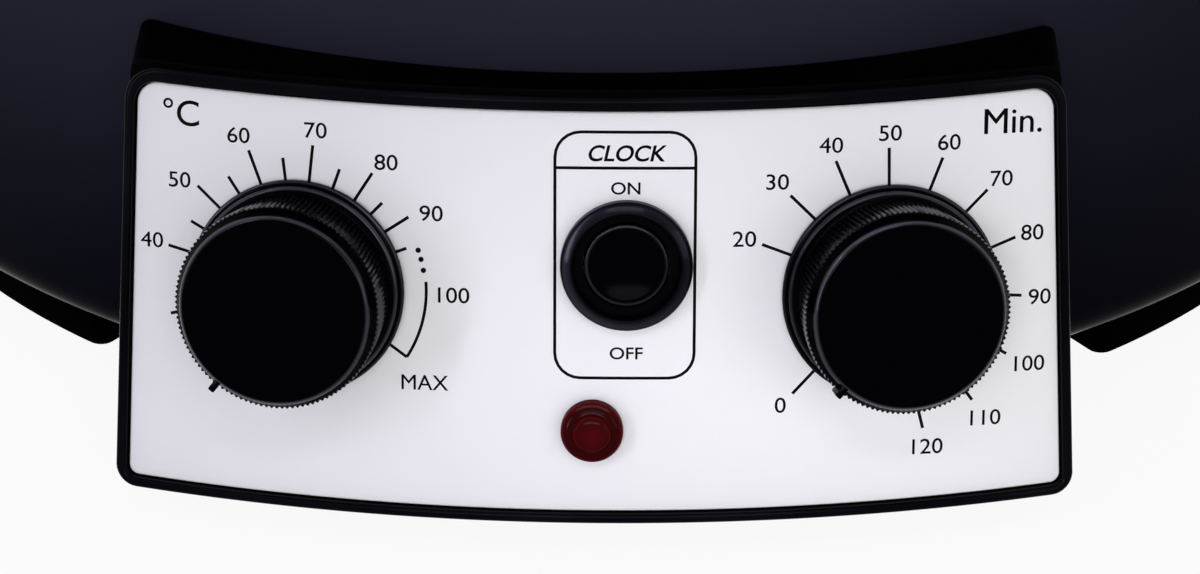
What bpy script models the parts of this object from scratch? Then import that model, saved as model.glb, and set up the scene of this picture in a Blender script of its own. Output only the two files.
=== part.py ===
"""Electric preserving cooker: an enamelled pot on a skirt that holds the heater, a lift-off lid, a jar
rack, two side handles, and a control housing with two dials, a push button and a lamp.

Metres, +Z up. The table is z = 0, the controls face -Y, and the origin is the middle of the plan.
"""

import math

import bmesh
import bpy
from mathutils import Matrix, Vector

# Shared clearances and step counts
GAP = 0.0003
OVERRUN = 0.010
WELD = 0.000001
FLAT_ANGLE = math.radians(0.05)
ROUND_STEPS = 40
CORNER_STEPS = 3
MID_STEPS = 24
SMALL_STEPS = 12

# Pot: one enamelled steel vessel whose wall runs on below the cooking floor as a skirt
POT_RADIUS = 0.180
POT_SHEET = 0.0012
COOKING_FLOOR = 0.078
POT_DEPTH = 0.285
RIM_BEAD = 0.0032
RIM_ROLL = math.radians(81)
FLOOR_FILLET = 0.012
SKIRT_LIFT = 0.0127
SKIRT_EDGE = 0.010
FLANGE_WIDTH = 0.020
RIM_HEIGHT = COOKING_FLOOR + POT_DEPTH
POT_BORE = POT_RADIUS - POT_SHEET
FLANGE_RADIUS = POT_RADIUS - SKIRT_EDGE - FLANGE_WIDTH
FLOOR_UNDERSIDE = COOKING_FLOOR - POT_SHEET

# Control face: a cone-shaped sheet, leaning back, its centre of curvature behind the pot's axis
FACE_RADIUS = 0.3373
FACE_STANDOFF = 0.02935
FACE_SETBACK = FACE_RADIUS - POT_RADIUS - FACE_STANDOFF
FACE_TILT = math.radians(14.8)
PLATE_BOTTOM = 0.0111
PLATE_HEIGHT = 0.0772
PLATE_BOTTOM_WIDTH = 0.1801
PLATE_TOP_WIDTH = 0.1738
PLATE_SHEET = 0.0008
PLATE_TOP_CORNER = 0.0045
PLATE_BOTTOM_CORNER = 0.0018
FACE_STEPS = 144
SLICE_WIDTH = 2 * math.pi * FACE_RADIUS / FACE_STEPS

# Bezel and housing behind the plate
BEZEL_MARGIN = 0.0022
BEZEL_TOP_MARGIN = 0.0029
BEZEL_PROUD = 0.0016
BEZEL_EDGE = 0.0006
HOUSING_WALL = 0.0020
HOUSING_TOP = 0.0893
HOUSING_INSET = 0.0003
HOUSING_CORNER = 0.0030
INNER_CORNER_SHARE = 0.333
FRONT_WALL_FACE = -PLATE_SHEET - GAP
FRONT_WALL_BACK = FRONT_WALL_FACE - HOUSING_WALL

# Places of the controls on the face: across from the middle, and up from the plate's lower edge
DIAL_ACROSS = 0.0557
DIAL_UP = 0.0412
BUTTON_ACROSS = 0.0062
BUTTON_UP = 0.0482
LAMP_ACROSS = -0.0001
LAMP_UP = 0.0161

# Opening in the skirt behind the housing
PORT_WIDTH = 0.155
PORT_LOW = 0.024
PORT_HIGH = 0.0725

# Dial knob, spindle, bushing and nut
KNOB_RADIUS = 0.02065
KNOB_HEIGHT = 0.01935
KNOB_FOOT = 0.0009
KNOB_RIM_SHARES = ((0.84, 1.0), (0.867, 0.984), (0.895, 0.945), (0.910, 0.885))
KNOB_GRIP_SHARES = ((0.939, 0.860), (0.890, 0.205), (0.896, 0.165), (0.932, 0.180))
KNOB_SKIRT_SHARES = ((0.982, 0.118), (1.0, 0.098), (1.0, 0.0465))
NOSE_TURN = math.radians(-138.5)
NOSE_WIDTH = 0.0013
NOSE_INNER = 0.0165
NOSE_OUTER = 0.0203
NOSE_LOW = 0.0155
NOSE_HIGH = 0.0197
SPINDLE_RADIUS = 0.0030
SPINDLE_TIP = 0.0150
BUSHING_RADIUS = 0.0050
BUSHING_TIP = 0.0040
BUSHING_BORE_DEPTH = 0.0080
DIAL_NUT_RADIUS = 0.0080
DIAL_NUT_HEIGHT = 0.0025
KNOB_CAVITY_RADIUS = 0.0110
KNOB_CAVITY_DEPTH = 0.0045

# Thermostat and timer bodies behind the front wall
CONTROL_SETBACK = 0.0008
THERMOSTAT_WIDTH = 0.034
THERMOSTAT_TALL = 0.030
THERMOSTAT_DEPTH = 0.019
TIMER_RADIUS = 0.0195
TIMER_DEPTH = 0.028

# Push button
COLLAR_RADIUS = 0.0124
COLLAR_HEIGHT = 0.0032
COLLAR_CREST_SHARES = ((0.843, 1.0), (0.955, 0.80), (1.0, 0.66))
WELL_RADIUS = 0.00985
WELL_FLOOR = 0.0005
WELL_LIP_SHARE = 0.75
BARREL_RADIUS = 0.0094
BARREL_LENGTH = 0.0120
CAP_RADIUS = 0.0079
CAP_RIM = 0.0012
CAP_DISH = 0.0009
CAP_DISH_SHARES = ((0.0, 1.0), (0.5, 0.75), (0.85, 0.0), (0.95, 0.0))
CAP_UNDERSIDE = -0.0055
CAP_CLEARANCE = 0.00035
PLUNGER_RADIUS = 0.0023
PLUNGER_TIP = -0.0140
BUTTON_TRAVEL = 0.0030
BUTTON_NUT_RADIUS = 0.0130
BUTTON_NUT_HEIGHT = 0.0025
SWITCH_RADIUS = 0.0104
SWITCH_DEPTH = 0.0150
SPRING_RADIUS = 0.0046
SPRING_WIRE = 0.0004
SPRING_TURNS = 3
SPRING_TURN_POINTS = 8

# Indicator lamp
LENS_RADIUS = 0.0059
LENS_BARREL = 0.0045
LENS_HEIGHT = 0.0042
LENS_SHARES = ((0.40, 0.98), (0.58, 0.90), (0.63, 0.77), (0.80, 0.73), (0.94, 0.63), (1.0, 0.50))
LAMP_BODY_RADIUS = 0.0060
LAMP_BODY_DEPTH = 0.0130

# Heater under the cooking floor
SPREADER_MARGIN = 0.0388
SPREADER_RADIUS = POT_BORE - SPREADER_MARGIN
SPREADER_THICK = 0.0030
ELEMENT_MARGIN = 0.025
ELEMENT_RING = SPREADER_RADIUS - ELEMENT_MARGIN
ELEMENT_RADIUS = 0.00425
ELEMENT_GAP_ANGLE = math.radians(22)
ELEMENT_POINTS = 24
TERMINAL_LENGTH = 0.023
TERMINAL_REACH = ELEMENT_RING + TERMINAL_LENGTH
TERMINAL_HALF_GAP = 0.022
SHIELD_MARGIN = 0.010
SHIELD_RADIUS = SPREADER_RADIUS - SHIELD_MARGIN
SHIELD_SHEET = 0.0008
SHIELD_FLOOR = 0.0500
SHIELD_LIP = 0.0080
SHIELD_CORNER = 0.0040
STUD_RADIUS = 0.0030
STUD_CLEARANCE = 0.0004
STUD_END = 0.0060
SPACER_RADIUS = 0.0055
HEX_RADIUS = 0.0058
HEX_HEIGHT = 0.0047
BULB_RADIUS = 0.0030
BULB_LENGTH = 0.060
BULB_MARGIN = 0.030
BULB_FORWARD = ELEMENT_RING - BULB_MARGIN
CLIP_WIDTH = 0.010
CLIP_SHEET = 0.0010
CAPILLARY_RADIUS = 0.0011
CUTOUT_RADIUS = 0.0080
CUTOUT_HEIGHT = 0.0060
CUTOUT_ACROSS = 0.035
CUTOUT_MARGIN = 0.055
CUTOUT_FORWARD = ELEMENT_RING - CUTOUT_MARGIN

# Base plate, feet and their screws
BASE_SHEET = 0.0008
FOOT_ANGLE = math.radians(45.5)
FOOT_SPAN = math.radians(17)
FOOT_LENGTH = 0.032
FOOT_OUTER = POT_RADIUS - SKIRT_EDGE
FOOT_INNER = FOOT_OUTER - FOOT_LENGTH
FOOT_TREAD_SHARE = 0.70
FOOT_EDGE = 0.0020
FOOT_SCREW_INSET = 0.012
FOOT_SCREW_RADIUS = FOOT_OUTER - FOOT_SCREW_INSET
SCREW_RADIUS = 0.0020
SCREW_HEAD_RADIUS = 0.0040
SCREW_HEAD_HEIGHT = 0.0028
SCREW_DOME_SHARES = ((0.6, 1.0), (1.0, 0.4))
FOOT_POCKET = 0.0048
FOOT_SCREW_PAST = 0.0030

# Mains cable entry at the back of the skirt, with its terminal block
GLAND_HEIGHT = 0.036
GLAND_BARREL = 0.0080
GLAND_BORE = 0.0040
GLAND_HEAD = 0.0110
GLAND_PROUD = 0.0070
GLAND_NOSE_SHARE = 0.7
GLAND_INSIDE = 0.0120
GLAND_NUT_RADIUS = 0.0125
GLAND_NUT_HEIGHT = 0.0045
BLOCK_WIDTH = 0.040
BLOCK_DEPTH = 0.018
BLOCK_HEIGHT = 0.016
BLOCK_MARGIN = 0.068
BLOCK_BACK = POT_RADIUS - BLOCK_MARGIN
BLOCK_STEP_SHARE = 0.6

# Screws that hold the housing to the skirt
HOUSING_SCREW_ACROSS = 0.0825
HOUSING_SCREW_HEIGHT = 0.046
HOUSING_BOSS = 0.0070
HOUSING_SCREW_RADIUS = 0.0014
HOUSING_SCREW_HEAD = 0.0027
HOUSING_SCREW_HEAD_HEIGHT = 0.0020
HOUSING_SCREW_REACH = 0.0060

# Side handles on straps below the rim
HANDLE_DROP = 0.045
HANDLE_TALL = 0.020
HANDLE_EDGE = 0.0028
HANDLE_REACH = 0.046
HANDLE_GRIP = 0.014
HANDLE_HALF_WIDTH = 0.052
HANDLE_CORNER = 0.016
PAD_THICK = 0.006
PAD_OUTER_ANGLE = math.radians(26.0)
PAD_STEP_ANGLE = math.radians(19.0)
PAD_INNER_ANGLE = math.radians(14.5)
STRAP_THICK = 0.0020
STRAP_TALL = 0.016
STRAP_ANGLE = math.radians(27.5)
HANDLE_SCREW_ANGLE = math.radians(22.5)

# Lid with its knob
LID_SHEET = 0.0010
LID_RISE = 0.022
LID_FIT = 0.0038
LID_WALL_RADIUS = POT_BORE - LID_FIT
LID_GROOVE_BEND = 0.0040
LID_GROOVE_WIDTH = 0.0090
LID_GROOVE_RADIUS = LID_WALL_RADIUS - LID_GROOVE_BEND
LID_DOME_RADIUS = LID_WALL_RADIUS - LID_GROOVE_WIDTH
LID_GROOVE_DROP = 0.0060
LID_LIP_FIT = 0.0013
LID_LIP_RADIUS = POT_BORE + 2 * RIM_BEAD + LID_LIP_FIT + LID_SHEET
LID_LIP_DROP = 0.0040
LID_DOME_STEPS = 4
LID_KNOB_RADIUS = 0.0210
LID_KNOB_HEIGHT = 0.0330
LID_KNOB_SHARES = ((0.55, 1.0), (0.85, 0.95), (1.0, 0.82), (0.97, 0.68), (0.72, 0.50),
                   (0.50, 0.34), (0.50, 0.16), (0.66, 0.06), (0.66, 0.0))
LID_SCREW_RADIUS = 0.0023
LID_SCREW_REACH = 0.0180
LID_SCREW_HEAD_RADIUS = 0.0045
LID_SCREW_HEAD_HEIGHT = 0.0028
LID_WASHER_RADIUS = 0.0080
LID_WASHER_SHEET = 0.0010

# Jar rack: a pressed plate with a turned-down rim, standing on the cooking floor
RACK_MARGIN = 0.0188
RACK_RADIUS = POT_BORE - RACK_MARGIN
RACK_HEIGHT = 0.0125
RACK_SHEET = 0.0010
RACK_CORNER = 0.0030
RACK_EYE = 0.0160
RACK_HOLE = 0.0150
RACK_HOLE_SIDES = 8
RACK_RING_SHARES = ((0.38, 6), (0.74, 12))

# Inner wires
WIRE_RADIUS = 0.0014
WIRE_STEPS = 4
LEAD_SHARES = (0.0, 0.5, 1.0)
CAPILLARY_START_SHARES = (0.25, -0.30)
CAPILLARY_CHANNEL_SHARE = 0.35
WIRE_START_SHARES = (0.35, 0.30)
TIMER_WIRE_SHARE = 0.30
BLOCK_WIRE_SHARES = (-0.20, 0.30)


def clear_scene():
    for old in list(bpy.data.objects):
        bpy.data.objects.remove(old, do_unlink=True)


clear_scene()
parts = bpy.data.collections.new("preserving_cooker")
cutters = bpy.data.collections.new("cutters")
bpy.context.scene.collection.children.link(parts)
bpy.context.scene.collection.children.link(cutters)
cutters.hide_render = True


def finish(name, colour, roughness, metallic=0.0, transmission=0.0):
    """A material for one sub-part."""
    made = bpy.data.materials.new(name)
    made.use_nodes = True
    shader = made.node_tree.nodes["Principled BSDF"]
    shader.inputs["Base Color"].default_value = (*colour, 1.0)
    shader.inputs["Roughness"].default_value = roughness
    shader.inputs["Metallic"].default_value = metallic
    shader.inputs["Transmission Weight"].default_value = transmission
    return made


ENAMEL = finish("black_enamel", (0.012, 0.012, 0.022), 0.18)
HOUSING_BLACK = finish("matt_black_housing", (0.008, 0.008, 0.008), 0.55)
GLOSS_BLACK = finish("gloss_black_plastic", (0.006, 0.006, 0.009), 0.15)
KNOB_BLACK = finish("knob_black", (0.007, 0.007, 0.010), 0.25)
PLATE_WHITE = finish("printed_plate", (0.78, 0.78, 0.84), 0.30)
LENS_RED = finish("red_lens", (0.30, 0.0, 0.012), 0.12, 0.0, 0.4)
STEEL = finish("zinc_steel", (0.55, 0.55, 0.56), 0.35, 1.0)
ALUMINIUM = finish("aluminium", (0.75, 0.75, 0.76), 0.40, 1.0)
INNER_PLASTIC = finish("inner_plastic", (0.75, 0.73, 0.68), 0.50)
COPPER = finish("copper_tube", (0.72, 0.36, 0.22), 0.35, 1.0)
FOOT_BLACK = finish("foot_black", (0.010, 0.010, 0.010), 0.70)
WIRE_SLEEVE = finish("wire_sleeve", (0.25, 0.14, 0.08), 0.55)


def empty(name, matrix, parent=None):
    made = bpy.data.objects.new(name, None)
    made.empty_display_size = GAP
    parts.objects.link(made)
    made.parent = parent
    made.matrix_local = matrix
    return made


def place(mesh, name, material=None, parent=None):
    """A mesh object in the parts, or in the cutters if it has no material."""
    made = bpy.data.objects.new(name, mesh)
    made.parent = parent
    if material:
        mesh.materials.append(material)
        parts.objects.link(made)
    else:
        cutters.objects.link(made)
        made.hide_render = True
        made.display_type = "WIRE"
    return made


def smooth(made, angle=math.radians(35)):
    made.data.shade_smooth()
    made.data.set_sharp_from_angle(angle=angle)


def turned(name, profile, steps, material=None, parent=None):
    """A profile of (radius, height) turned about Z. It runs down its outer side, top to bottom."""
    closed = profile[0][0] > 0 or profile[-1][0] > 0
    mesh = bpy.data.meshes.new(name)
    count = len(profile)
    edges = [(i, i + 1) for i in range(count - 1)]
    if closed:
        edges.append((count - 1, 0))
    mesh.from_pydata([(radius, 0.0, height) for radius, height in profile], edges, [])
    made = place(mesh, name, material, parent)
    screw = made.modifiers.new("turn", "SCREW")
    screw.steps = steps
    screw.render_steps = steps
    screw.use_merge_vertices = True
    screw.merge_threshold = WELD
    return made


def shape(name, build, material=None, parent=None):
    """A mesh object whose faces the function build makes in a bmesh."""
    bm = bmesh.new()
    build(bm)
    mesh = bpy.data.meshes.new(name)
    bm.to_mesh(mesh)
    bm.free()
    return place(mesh, name, material, parent)


def box(name, low, high, material=None, parent=None):
    """A box between two corners."""
    size = [b - a for a, b in zip(low, high)]
    middle = [(a + b) / 2 for a, b in zip(low, high)]

    def build(bm):
        whole = Matrix.Translation(middle) @ Matrix.Diagonal((*size, 1.0))
        bmesh.ops.create_cube(bm, size=1.0, matrix=whole)

    return shape(name, build, material, parent)


def rod(name, radius, low, high, sides, material=None, parent=None):
    """A cylinder on Z from low to high, or a hexagon bar with six sides."""

    def build(bm):
        bmesh.ops.create_cone(bm, cap_ends=True, segments=sides, radius1=radius, radius2=radius,
                              depth=high - low, matrix=Matrix.Translation((0, 0, (low + high) / 2)))

    return shape(name, build, material, parent)


def combine(made, other, operation="DIFFERENCE"):
    step = made.modifiers.new(operation.lower(), "BOOLEAN")
    step.operation = operation
    step.solver = "EXACT"
    step.object = other


def bevel(made, width, segments=2, angle=math.radians(40)):
    step = made.modifiers.new("edges", "BEVEL")
    step.width = width
    step.segments = segments
    step.limit_method = "ANGLE"
    step.angle_limit = angle


def mesh_of(curve_object):
    """The curve object's evaluated mesh, with its caps welded; the curve is removed."""
    graph = bpy.context.evaluated_depsgraph_get()
    mesh = bpy.data.meshes.new_from_object(curve_object.evaluated_get(graph))
    bpy.data.objects.remove(curve_object, do_unlink=True)
    bm = bmesh.new()
    bm.from_mesh(mesh)
    bmesh.ops.remove_doubles(bm, verts=bm.verts, dist=WELD)
    bmesh.ops.recalc_face_normals(bm, faces=bm.faces)
    bm.to_mesh(mesh)
    bm.free()
    mesh.materials.clear()
    return mesh


def prism(name, outlines, low, high, material=None, parent=None, change=None):
    """Flat outlines in XY, the later ones holes, filled and extruded from low to high."""
    data = bpy.data.curves.new(name, "CURVE")
    data.dimensions = "2D"
    data.fill_mode = "BOTH"
    data.extrude = (high - low) / 2
    for outline in outlines:
        spline = data.splines.new("POLY")
        spline.points.add(len(outline) - 1)
        for point, (x, y) in zip(spline.points, outline):
            point.co = (x, y, 0.0, 1.0)
        spline.use_cyclic_u = True
    guide = bpy.data.objects.new(name + "_outline", data)
    bpy.context.scene.collection.objects.link(guide)
    mesh = mesh_of(guide)
    mesh.transform(Matrix.Translation((0, 0, (low + high) / 2)))
    if change:
        bm = bmesh.new()
        bm.from_mesh(mesh)
        change(bm)
        bm.to_mesh(mesh)
        bm.free()
    return place(mesh, name, material, parent)


def tube(name, points, radius, material=None, parent=None, resolution=2):
    """A wire or tube through the points, with filled ends."""
    data = bpy.data.curves.new(name, "CURVE")
    data.dimensions = "3D"
    data.bevel_depth = radius
    data.bevel_resolution = resolution
    data.use_fill_caps = True
    spline = data.splines.new("POLY")
    spline.points.add(len(points) - 1)
    for point, co in zip(spline.points, points):
        point.co = (*co, 1.0)
    guide = bpy.data.objects.new(name + "_path", data)
    bpy.context.scene.collection.objects.link(guide)
    return place(mesh_of(guide), name, material, parent)


def arc(centre_x, centre_y, radius, start, end, steps):
    """Points on an arc, both ends included; the angles are in radians."""
    return [(centre_x + radius * math.cos(start + (end - start) * i / steps),
             centre_y + radius * math.sin(start + (end - start) * i / steps)) for i in range(steps + 1)]


def smooth_path(points, steps):
    """Points along a smooth curve through the given points, each stretch bending over its own length."""
    knots = [Vector(p) for p in points]
    ends = [knots[0]] + knots + [knots[-1]]
    leans = [(after - before).normalized() for before, after in zip(ends, ends[2:])]
    path = []
    for start, end, lean_out, lean_in in zip(knots, knots[1:], leans, leans[1:]):
        span = (end - start).length
        for k in range(steps):
            t = k / steps
            path.append(start * (1 - t) ** 2 * (1 + 2 * t) + end * t ** 2 * (3 - 2 * t)
                        + lean_out * span * t * (1 - t) ** 2 - lean_in * span * t ** 2 * (1 - t))
    path.append(knots[-1])
    return path


# The control face
def face_radius(up, out=0.0):
    return FACE_RADIUS - up * math.sin(FACE_TILT) + out * math.cos(FACE_TILT)


def face_point(across, up, out):
    """A place on the face: across from its middle, up its slope, and out from the plate's front."""
    angle = across / face_radius(up)
    radius = face_radius(up, out)
    return Vector((radius * math.sin(angle), FACE_SETBACK - radius * math.cos(angle),
                   PLATE_BOTTOM + up * math.cos(FACE_TILT) + out * math.sin(FACE_TILT)))


def face_matrix(across, up):
    """X across, Y up the slope, Z straight out of the plate's front."""
    angle = across / face_radius(up)
    tilt = FACE_TILT
    right = Vector((math.cos(angle), math.sin(angle), 0.0))
    out = Vector((math.sin(angle) * math.cos(tilt), -math.cos(angle) * math.cos(tilt), math.sin(tilt)))
    above = out.cross(right)
    turn = Matrix((right, above, out)).transposed().to_4x4()
    return Matrix.Translation(face_point(across, up, 0.0)) @ turn


def front_reach():
    """How far the knobs reach in front of the pot's axis."""
    frame = face_matrix(DIAL_ACROSS, DIAL_UP)
    spread = math.sqrt(1.0 - frame[1][2] ** 2)
    reach = 0.0
    for radius_share, height_share in KNOB_RIM_SHARES:
        edge = frame[1][3] + frame[1][2] * height_share * KNOB_HEIGHT - spread * radius_share * KNOB_RADIUS
        reach = max(reach, -edge)
    return reach


AXIS_Y = (front_reach() - LID_LIP_RADIUS) / 2
axis = empty("pot_axis", Matrix.Translation((0, AXIS_Y, 0)))


def sheet_half_width(up):
    share = up / PLATE_HEIGHT
    return (PLATE_BOTTOM_WIDTH + (PLATE_TOP_WIDTH - PLATE_BOTTOM_WIDTH) * share) / 2


def sheet_outline(margin, top_margin, bottom_corner, top_corner, steps=4):
    """The plate's outline on the flat sheet, moved out by the margins."""
    low, high = -margin, PLATE_HEIGHT + top_margin
    wide_low = sheet_half_width(low) + margin
    wide_high = sheet_half_width(high) + margin
    quarter = math.pi / 2
    outline = arc(wide_low - bottom_corner, low + bottom_corner, bottom_corner, -quarter, 0, steps)
    outline += arc(wide_high - top_corner, high - top_corner, top_corner, 0, quarter, steps)
    outline += arc(top_corner - wide_high, high - top_corner, top_corner, quarter, 2 * quarter, steps)
    outline += arc(bottom_corner - wide_low, low + bottom_corner, bottom_corner, 2 * quarter, 3 * quarter,
                   steps)
    return outline


def merge_flat_faces(bm):
    bmesh.ops.dissolve_limit(bm, angle_limit=FLAT_ANGLE, verts=bm.verts, edges=bm.edges)


def bend_bezel(bm):
    """Rounds the bezel's crest, then lays it on the face."""
    merge_flat_faces(bm)
    crest = [edge for edge in bm.edges if edge.calc_face_angle(0.0) > 1.0
             and all(abs(vert.co.z - BEZEL_PROUD) < WELD for vert in edge.verts)]
    bmesh.ops.bevel(bm, geom=crest, offset=BEZEL_EDGE, segments=2, affect="EDGES", profile=0.5)
    bend_onto_face(bm)


def bend_onto_face(bm):
    """Slices a flat solid made in (across, up, out) and lays it on the face."""
    merge_flat_faces(bm)
    slices = math.ceil(PLATE_BOTTOM_WIDTH / SLICE_WIDTH / 2)
    for i in range(-slices, slices + 1):
        everything = bm.verts[:] + bm.edges[:] + bm.faces[:]
        bmesh.ops.bisect_plane(bm, geom=everything, dist=WELD, plane_co=(i * SLICE_WIDTH, 0, 0),
                               plane_no=(1, 0, 0))
    for vert in bm.verts:
        vert.co = face_point(*vert.co)


def face_drum(name, out):
    """A solid cone frustum whose side is the face moved out; a cutter's core."""
    low, high = -PLATE_HEIGHT, 2 * PLATE_HEIGHT
    slope = math.cos(FACE_TILT)
    profile = [(0.0, PLATE_BOTTOM + high * slope), (face_radius(high, out), PLATE_BOTTOM + high * slope),
               (face_radius(low, out), PLATE_BOTTOM + low * slope), (0.0, PLATE_BOTTOM + low * slope)]
    lift = out * math.sin(FACE_TILT)
    profile = [(radius, height + lift) for radius, height in profile]
    return turned(name, profile, FACE_STEPS, None, face_centre)


face_centre = empty("face_centre", Matrix.Translation((0, FACE_SETBACK, 0)), axis)


# Pot
def rim_bead():
    """The rolled rim, from its inner side over the top and round under its outer side."""
    centre = POT_BORE + RIM_BEAD
    return arc(centre, RIM_HEIGHT - RIM_BEAD, RIM_BEAD, math.pi, -RIM_ROLL, 6)


def make_pot():
    quarter = math.pi / 2
    fillet = arc(POT_BORE - FLOOR_FILLET, COOKING_FLOOR + FLOOR_FILLET, FLOOR_FILLET, -quarter, 0, 4)
    outer_edge = arc(POT_RADIUS - SKIRT_EDGE, SKIRT_LIFT + SKIRT_EDGE, SKIRT_EDGE, 0, -quarter, 5)
    inner_edge = arc(POT_RADIUS - SKIRT_EDGE, SKIRT_LIFT + SKIRT_EDGE, SKIRT_EDGE - POT_SHEET,
                     -quarter, 0, CORNER_STEPS)
    profile = [(0.0, COOKING_FLOOR)] + fillet + rim_bead()
    profile += [(POT_RADIUS, RIM_HEIGHT - 2 * RIM_BEAD)] + outer_edge
    profile += [(FLANGE_RADIUS, SKIRT_LIFT), (FLANGE_RADIUS, SKIRT_LIFT + POT_SHEET)] + inner_edge
    profile += [(POT_BORE, FLOOR_UNDERSIDE), (0.0, FLOOR_UNDERSIDE)]
    pot = turned("pot", profile, ROUND_STEPS, ENAMEL, axis)
    smooth(pot)
    port = box("port_cutter", (-PORT_WIDTH / 2, -POT_RADIUS - OVERRUN, PORT_LOW),
               (PORT_WIDTH / 2, -FLANGE_RADIUS + OVERRUN, PORT_HIGH), None, axis)
    combine(pot, port)
    combine(pot, rod("gland_hole_cutter", GLAND_BARREL + GAP, -OVERRUN, OVERRUN,
                     SMALL_STEPS, None, gland_frame))
    for frame in foot_frames:
        combine(pot, rod("flange_hole_cutter", SCREW_RADIUS + GAP, 0.0, SKIRT_LIFT + POT_SHEET + GAP,
                         SMALL_STEPS, None, frame))
    for frame in housing_screw_frames:
        combine(pot, rod("skirt_hole_cutter", HOUSING_SCREW_RADIUS + GAP, -OVERRUN / 2, OVERRUN / 2,
                         SMALL_STEPS, None, frame))


def radial_matrix(angle, radius, height):
    """A frame on the wall at an angle from the front, with Z pointing straight out of the wall."""
    out = Vector((math.sin(angle), -math.cos(angle), 0.0))
    above = Vector((0.0, 0.0, 1.0))
    right = above.cross(out)
    turn = Matrix((right, above, out)).transposed().to_4x4()
    return Matrix.Translation((radius * out.x, radius * out.y, height)) @ turn


def inner_wall_seat(radius):
    """The height, in a frame on the wall, at which a flat of this radius clears the wall's inner facets."""
    facet = POT_BORE * math.cos(math.pi / ROUND_STEPS)
    return math.sqrt(facet ** 2 - radius ** 2) - POT_RADIUS - GAP


gland_frame = empty("gland_frame", radial_matrix(math.pi, POT_RADIUS, GLAND_HEIGHT), axis)
FOOT_PLACES = {"front_left": -FOOT_ANGLE, "front_right": FOOT_ANGLE,
               "back_left": FOOT_ANGLE - math.pi, "back_right": math.pi - FOOT_ANGLE}
foot_frames = []
for place_name, place_angle in FOOT_PLACES.items():
    spot = Matrix.Rotation(place_angle, 4, "Z") @ Matrix.Translation((0, -FOOT_SCREW_RADIUS, 0))
    foot_frames.append(empty("foot_frame_" + place_name, spot, axis))
HOUSING_SCREW_ANGLE = math.asin(HOUSING_SCREW_ACROSS / POT_RADIUS)
housing_screw_frames = []
for side, side_sign in (("left", -1), ("right", 1)):
    spot = radial_matrix(side_sign * HOUSING_SCREW_ANGLE, POT_RADIUS, HOUSING_SCREW_HEIGHT)
    housing_screw_frames.append(empty("housing_screw_frame_" + side, spot, axis))
make_pot()


# Heater, its shield and the stud that carries them
SPREADER_TOP = FLOOR_UNDERSIDE - GAP
SPREADER_UNDERSIDE = SPREADER_TOP - SPREADER_THICK


def ring_profile(inner, outer, low, high):
    return [(inner, high), (outer, high), (outer, low), (inner, low)]


def make_heater():
    spreader = turned("heat_spreader", [(0.0, SPREADER_TOP), (SPREADER_RADIUS, SPREADER_TOP),
                                        (SPREADER_RADIUS, SPREADER_UNDERSIDE), (0.0, SPREADER_UNDERSIDE)],
                      ROUND_STEPS, ALUMINIUM, axis)
    smooth(spreader)
    height = SPREADER_UNDERSIDE - GAP - ELEMENT_RADIUS
    bend = (ELEMENT_RING + TERMINAL_REACH) / 2
    path = [(TERMINAL_HALF_GAP, -TERMINAL_REACH, height),
            (TERMINAL_HALF_GAP + ELEMENT_RADIUS / 2, -bend, height)]
    for i in range(ELEMENT_POINTS + 1):
        angle = ELEMENT_GAP_ANGLE + (2 * math.pi - 2 * ELEMENT_GAP_ANGLE) * i / ELEMENT_POINTS
        path.append((ELEMENT_RING * math.sin(angle), -ELEMENT_RING * math.cos(angle), height))
    path += [(-x, y, z) for x, y, z in reversed(path[:2])]
    smooth(tube("heating_element", path, ELEMENT_RADIUS, STEEL, axis))

    inside = SHIELD_RADIUS - SHIELD_SHEET
    hole = STUD_RADIUS + STUD_CLEARANCE
    under = SHIELD_FLOOR
    above = SHIELD_FLOOR + SHIELD_SHEET
    top = SHIELD_FLOOR + SHIELD_LIP
    profile = [(hole, above), (inside - SHIELD_CORNER, above), (inside, above + SHIELD_CORNER),
               (inside, top), (SHIELD_RADIUS, top), (SHIELD_RADIUS, above + SHIELD_CORNER),
               (SHIELD_RADIUS - SHIELD_CORNER, under), (hole, under)]
    smooth(turned("heat_shield", profile, ROUND_STEPS, STEEL, axis))

    smooth(rod("centre_stud", STUD_RADIUS, STUD_END, SPREADER_UNDERSIDE - GAP, SMALL_STEPS, STEEL, axis))
    spacer = ring_profile(hole, SPACER_RADIUS, above + GAP, SPREADER_UNDERSIDE - GAP)
    smooth(turned("shield_spacer", spacer, SMALL_STEPS, STEEL, axis))
    hex_nut("shield_nut", hole, HEX_RADIUS, under - GAP - HEX_HEIGHT, under - GAP, axis)


def hex_nut(name, bore, radius, low, high, parent):
    nut = rod(name, radius, low, high, 6, STEEL, parent)
    combine(nut, rod(name + "_bore", bore, low - OVERRUN, high + OVERRUN, MID_STEPS, None, parent))
    return nut


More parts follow.
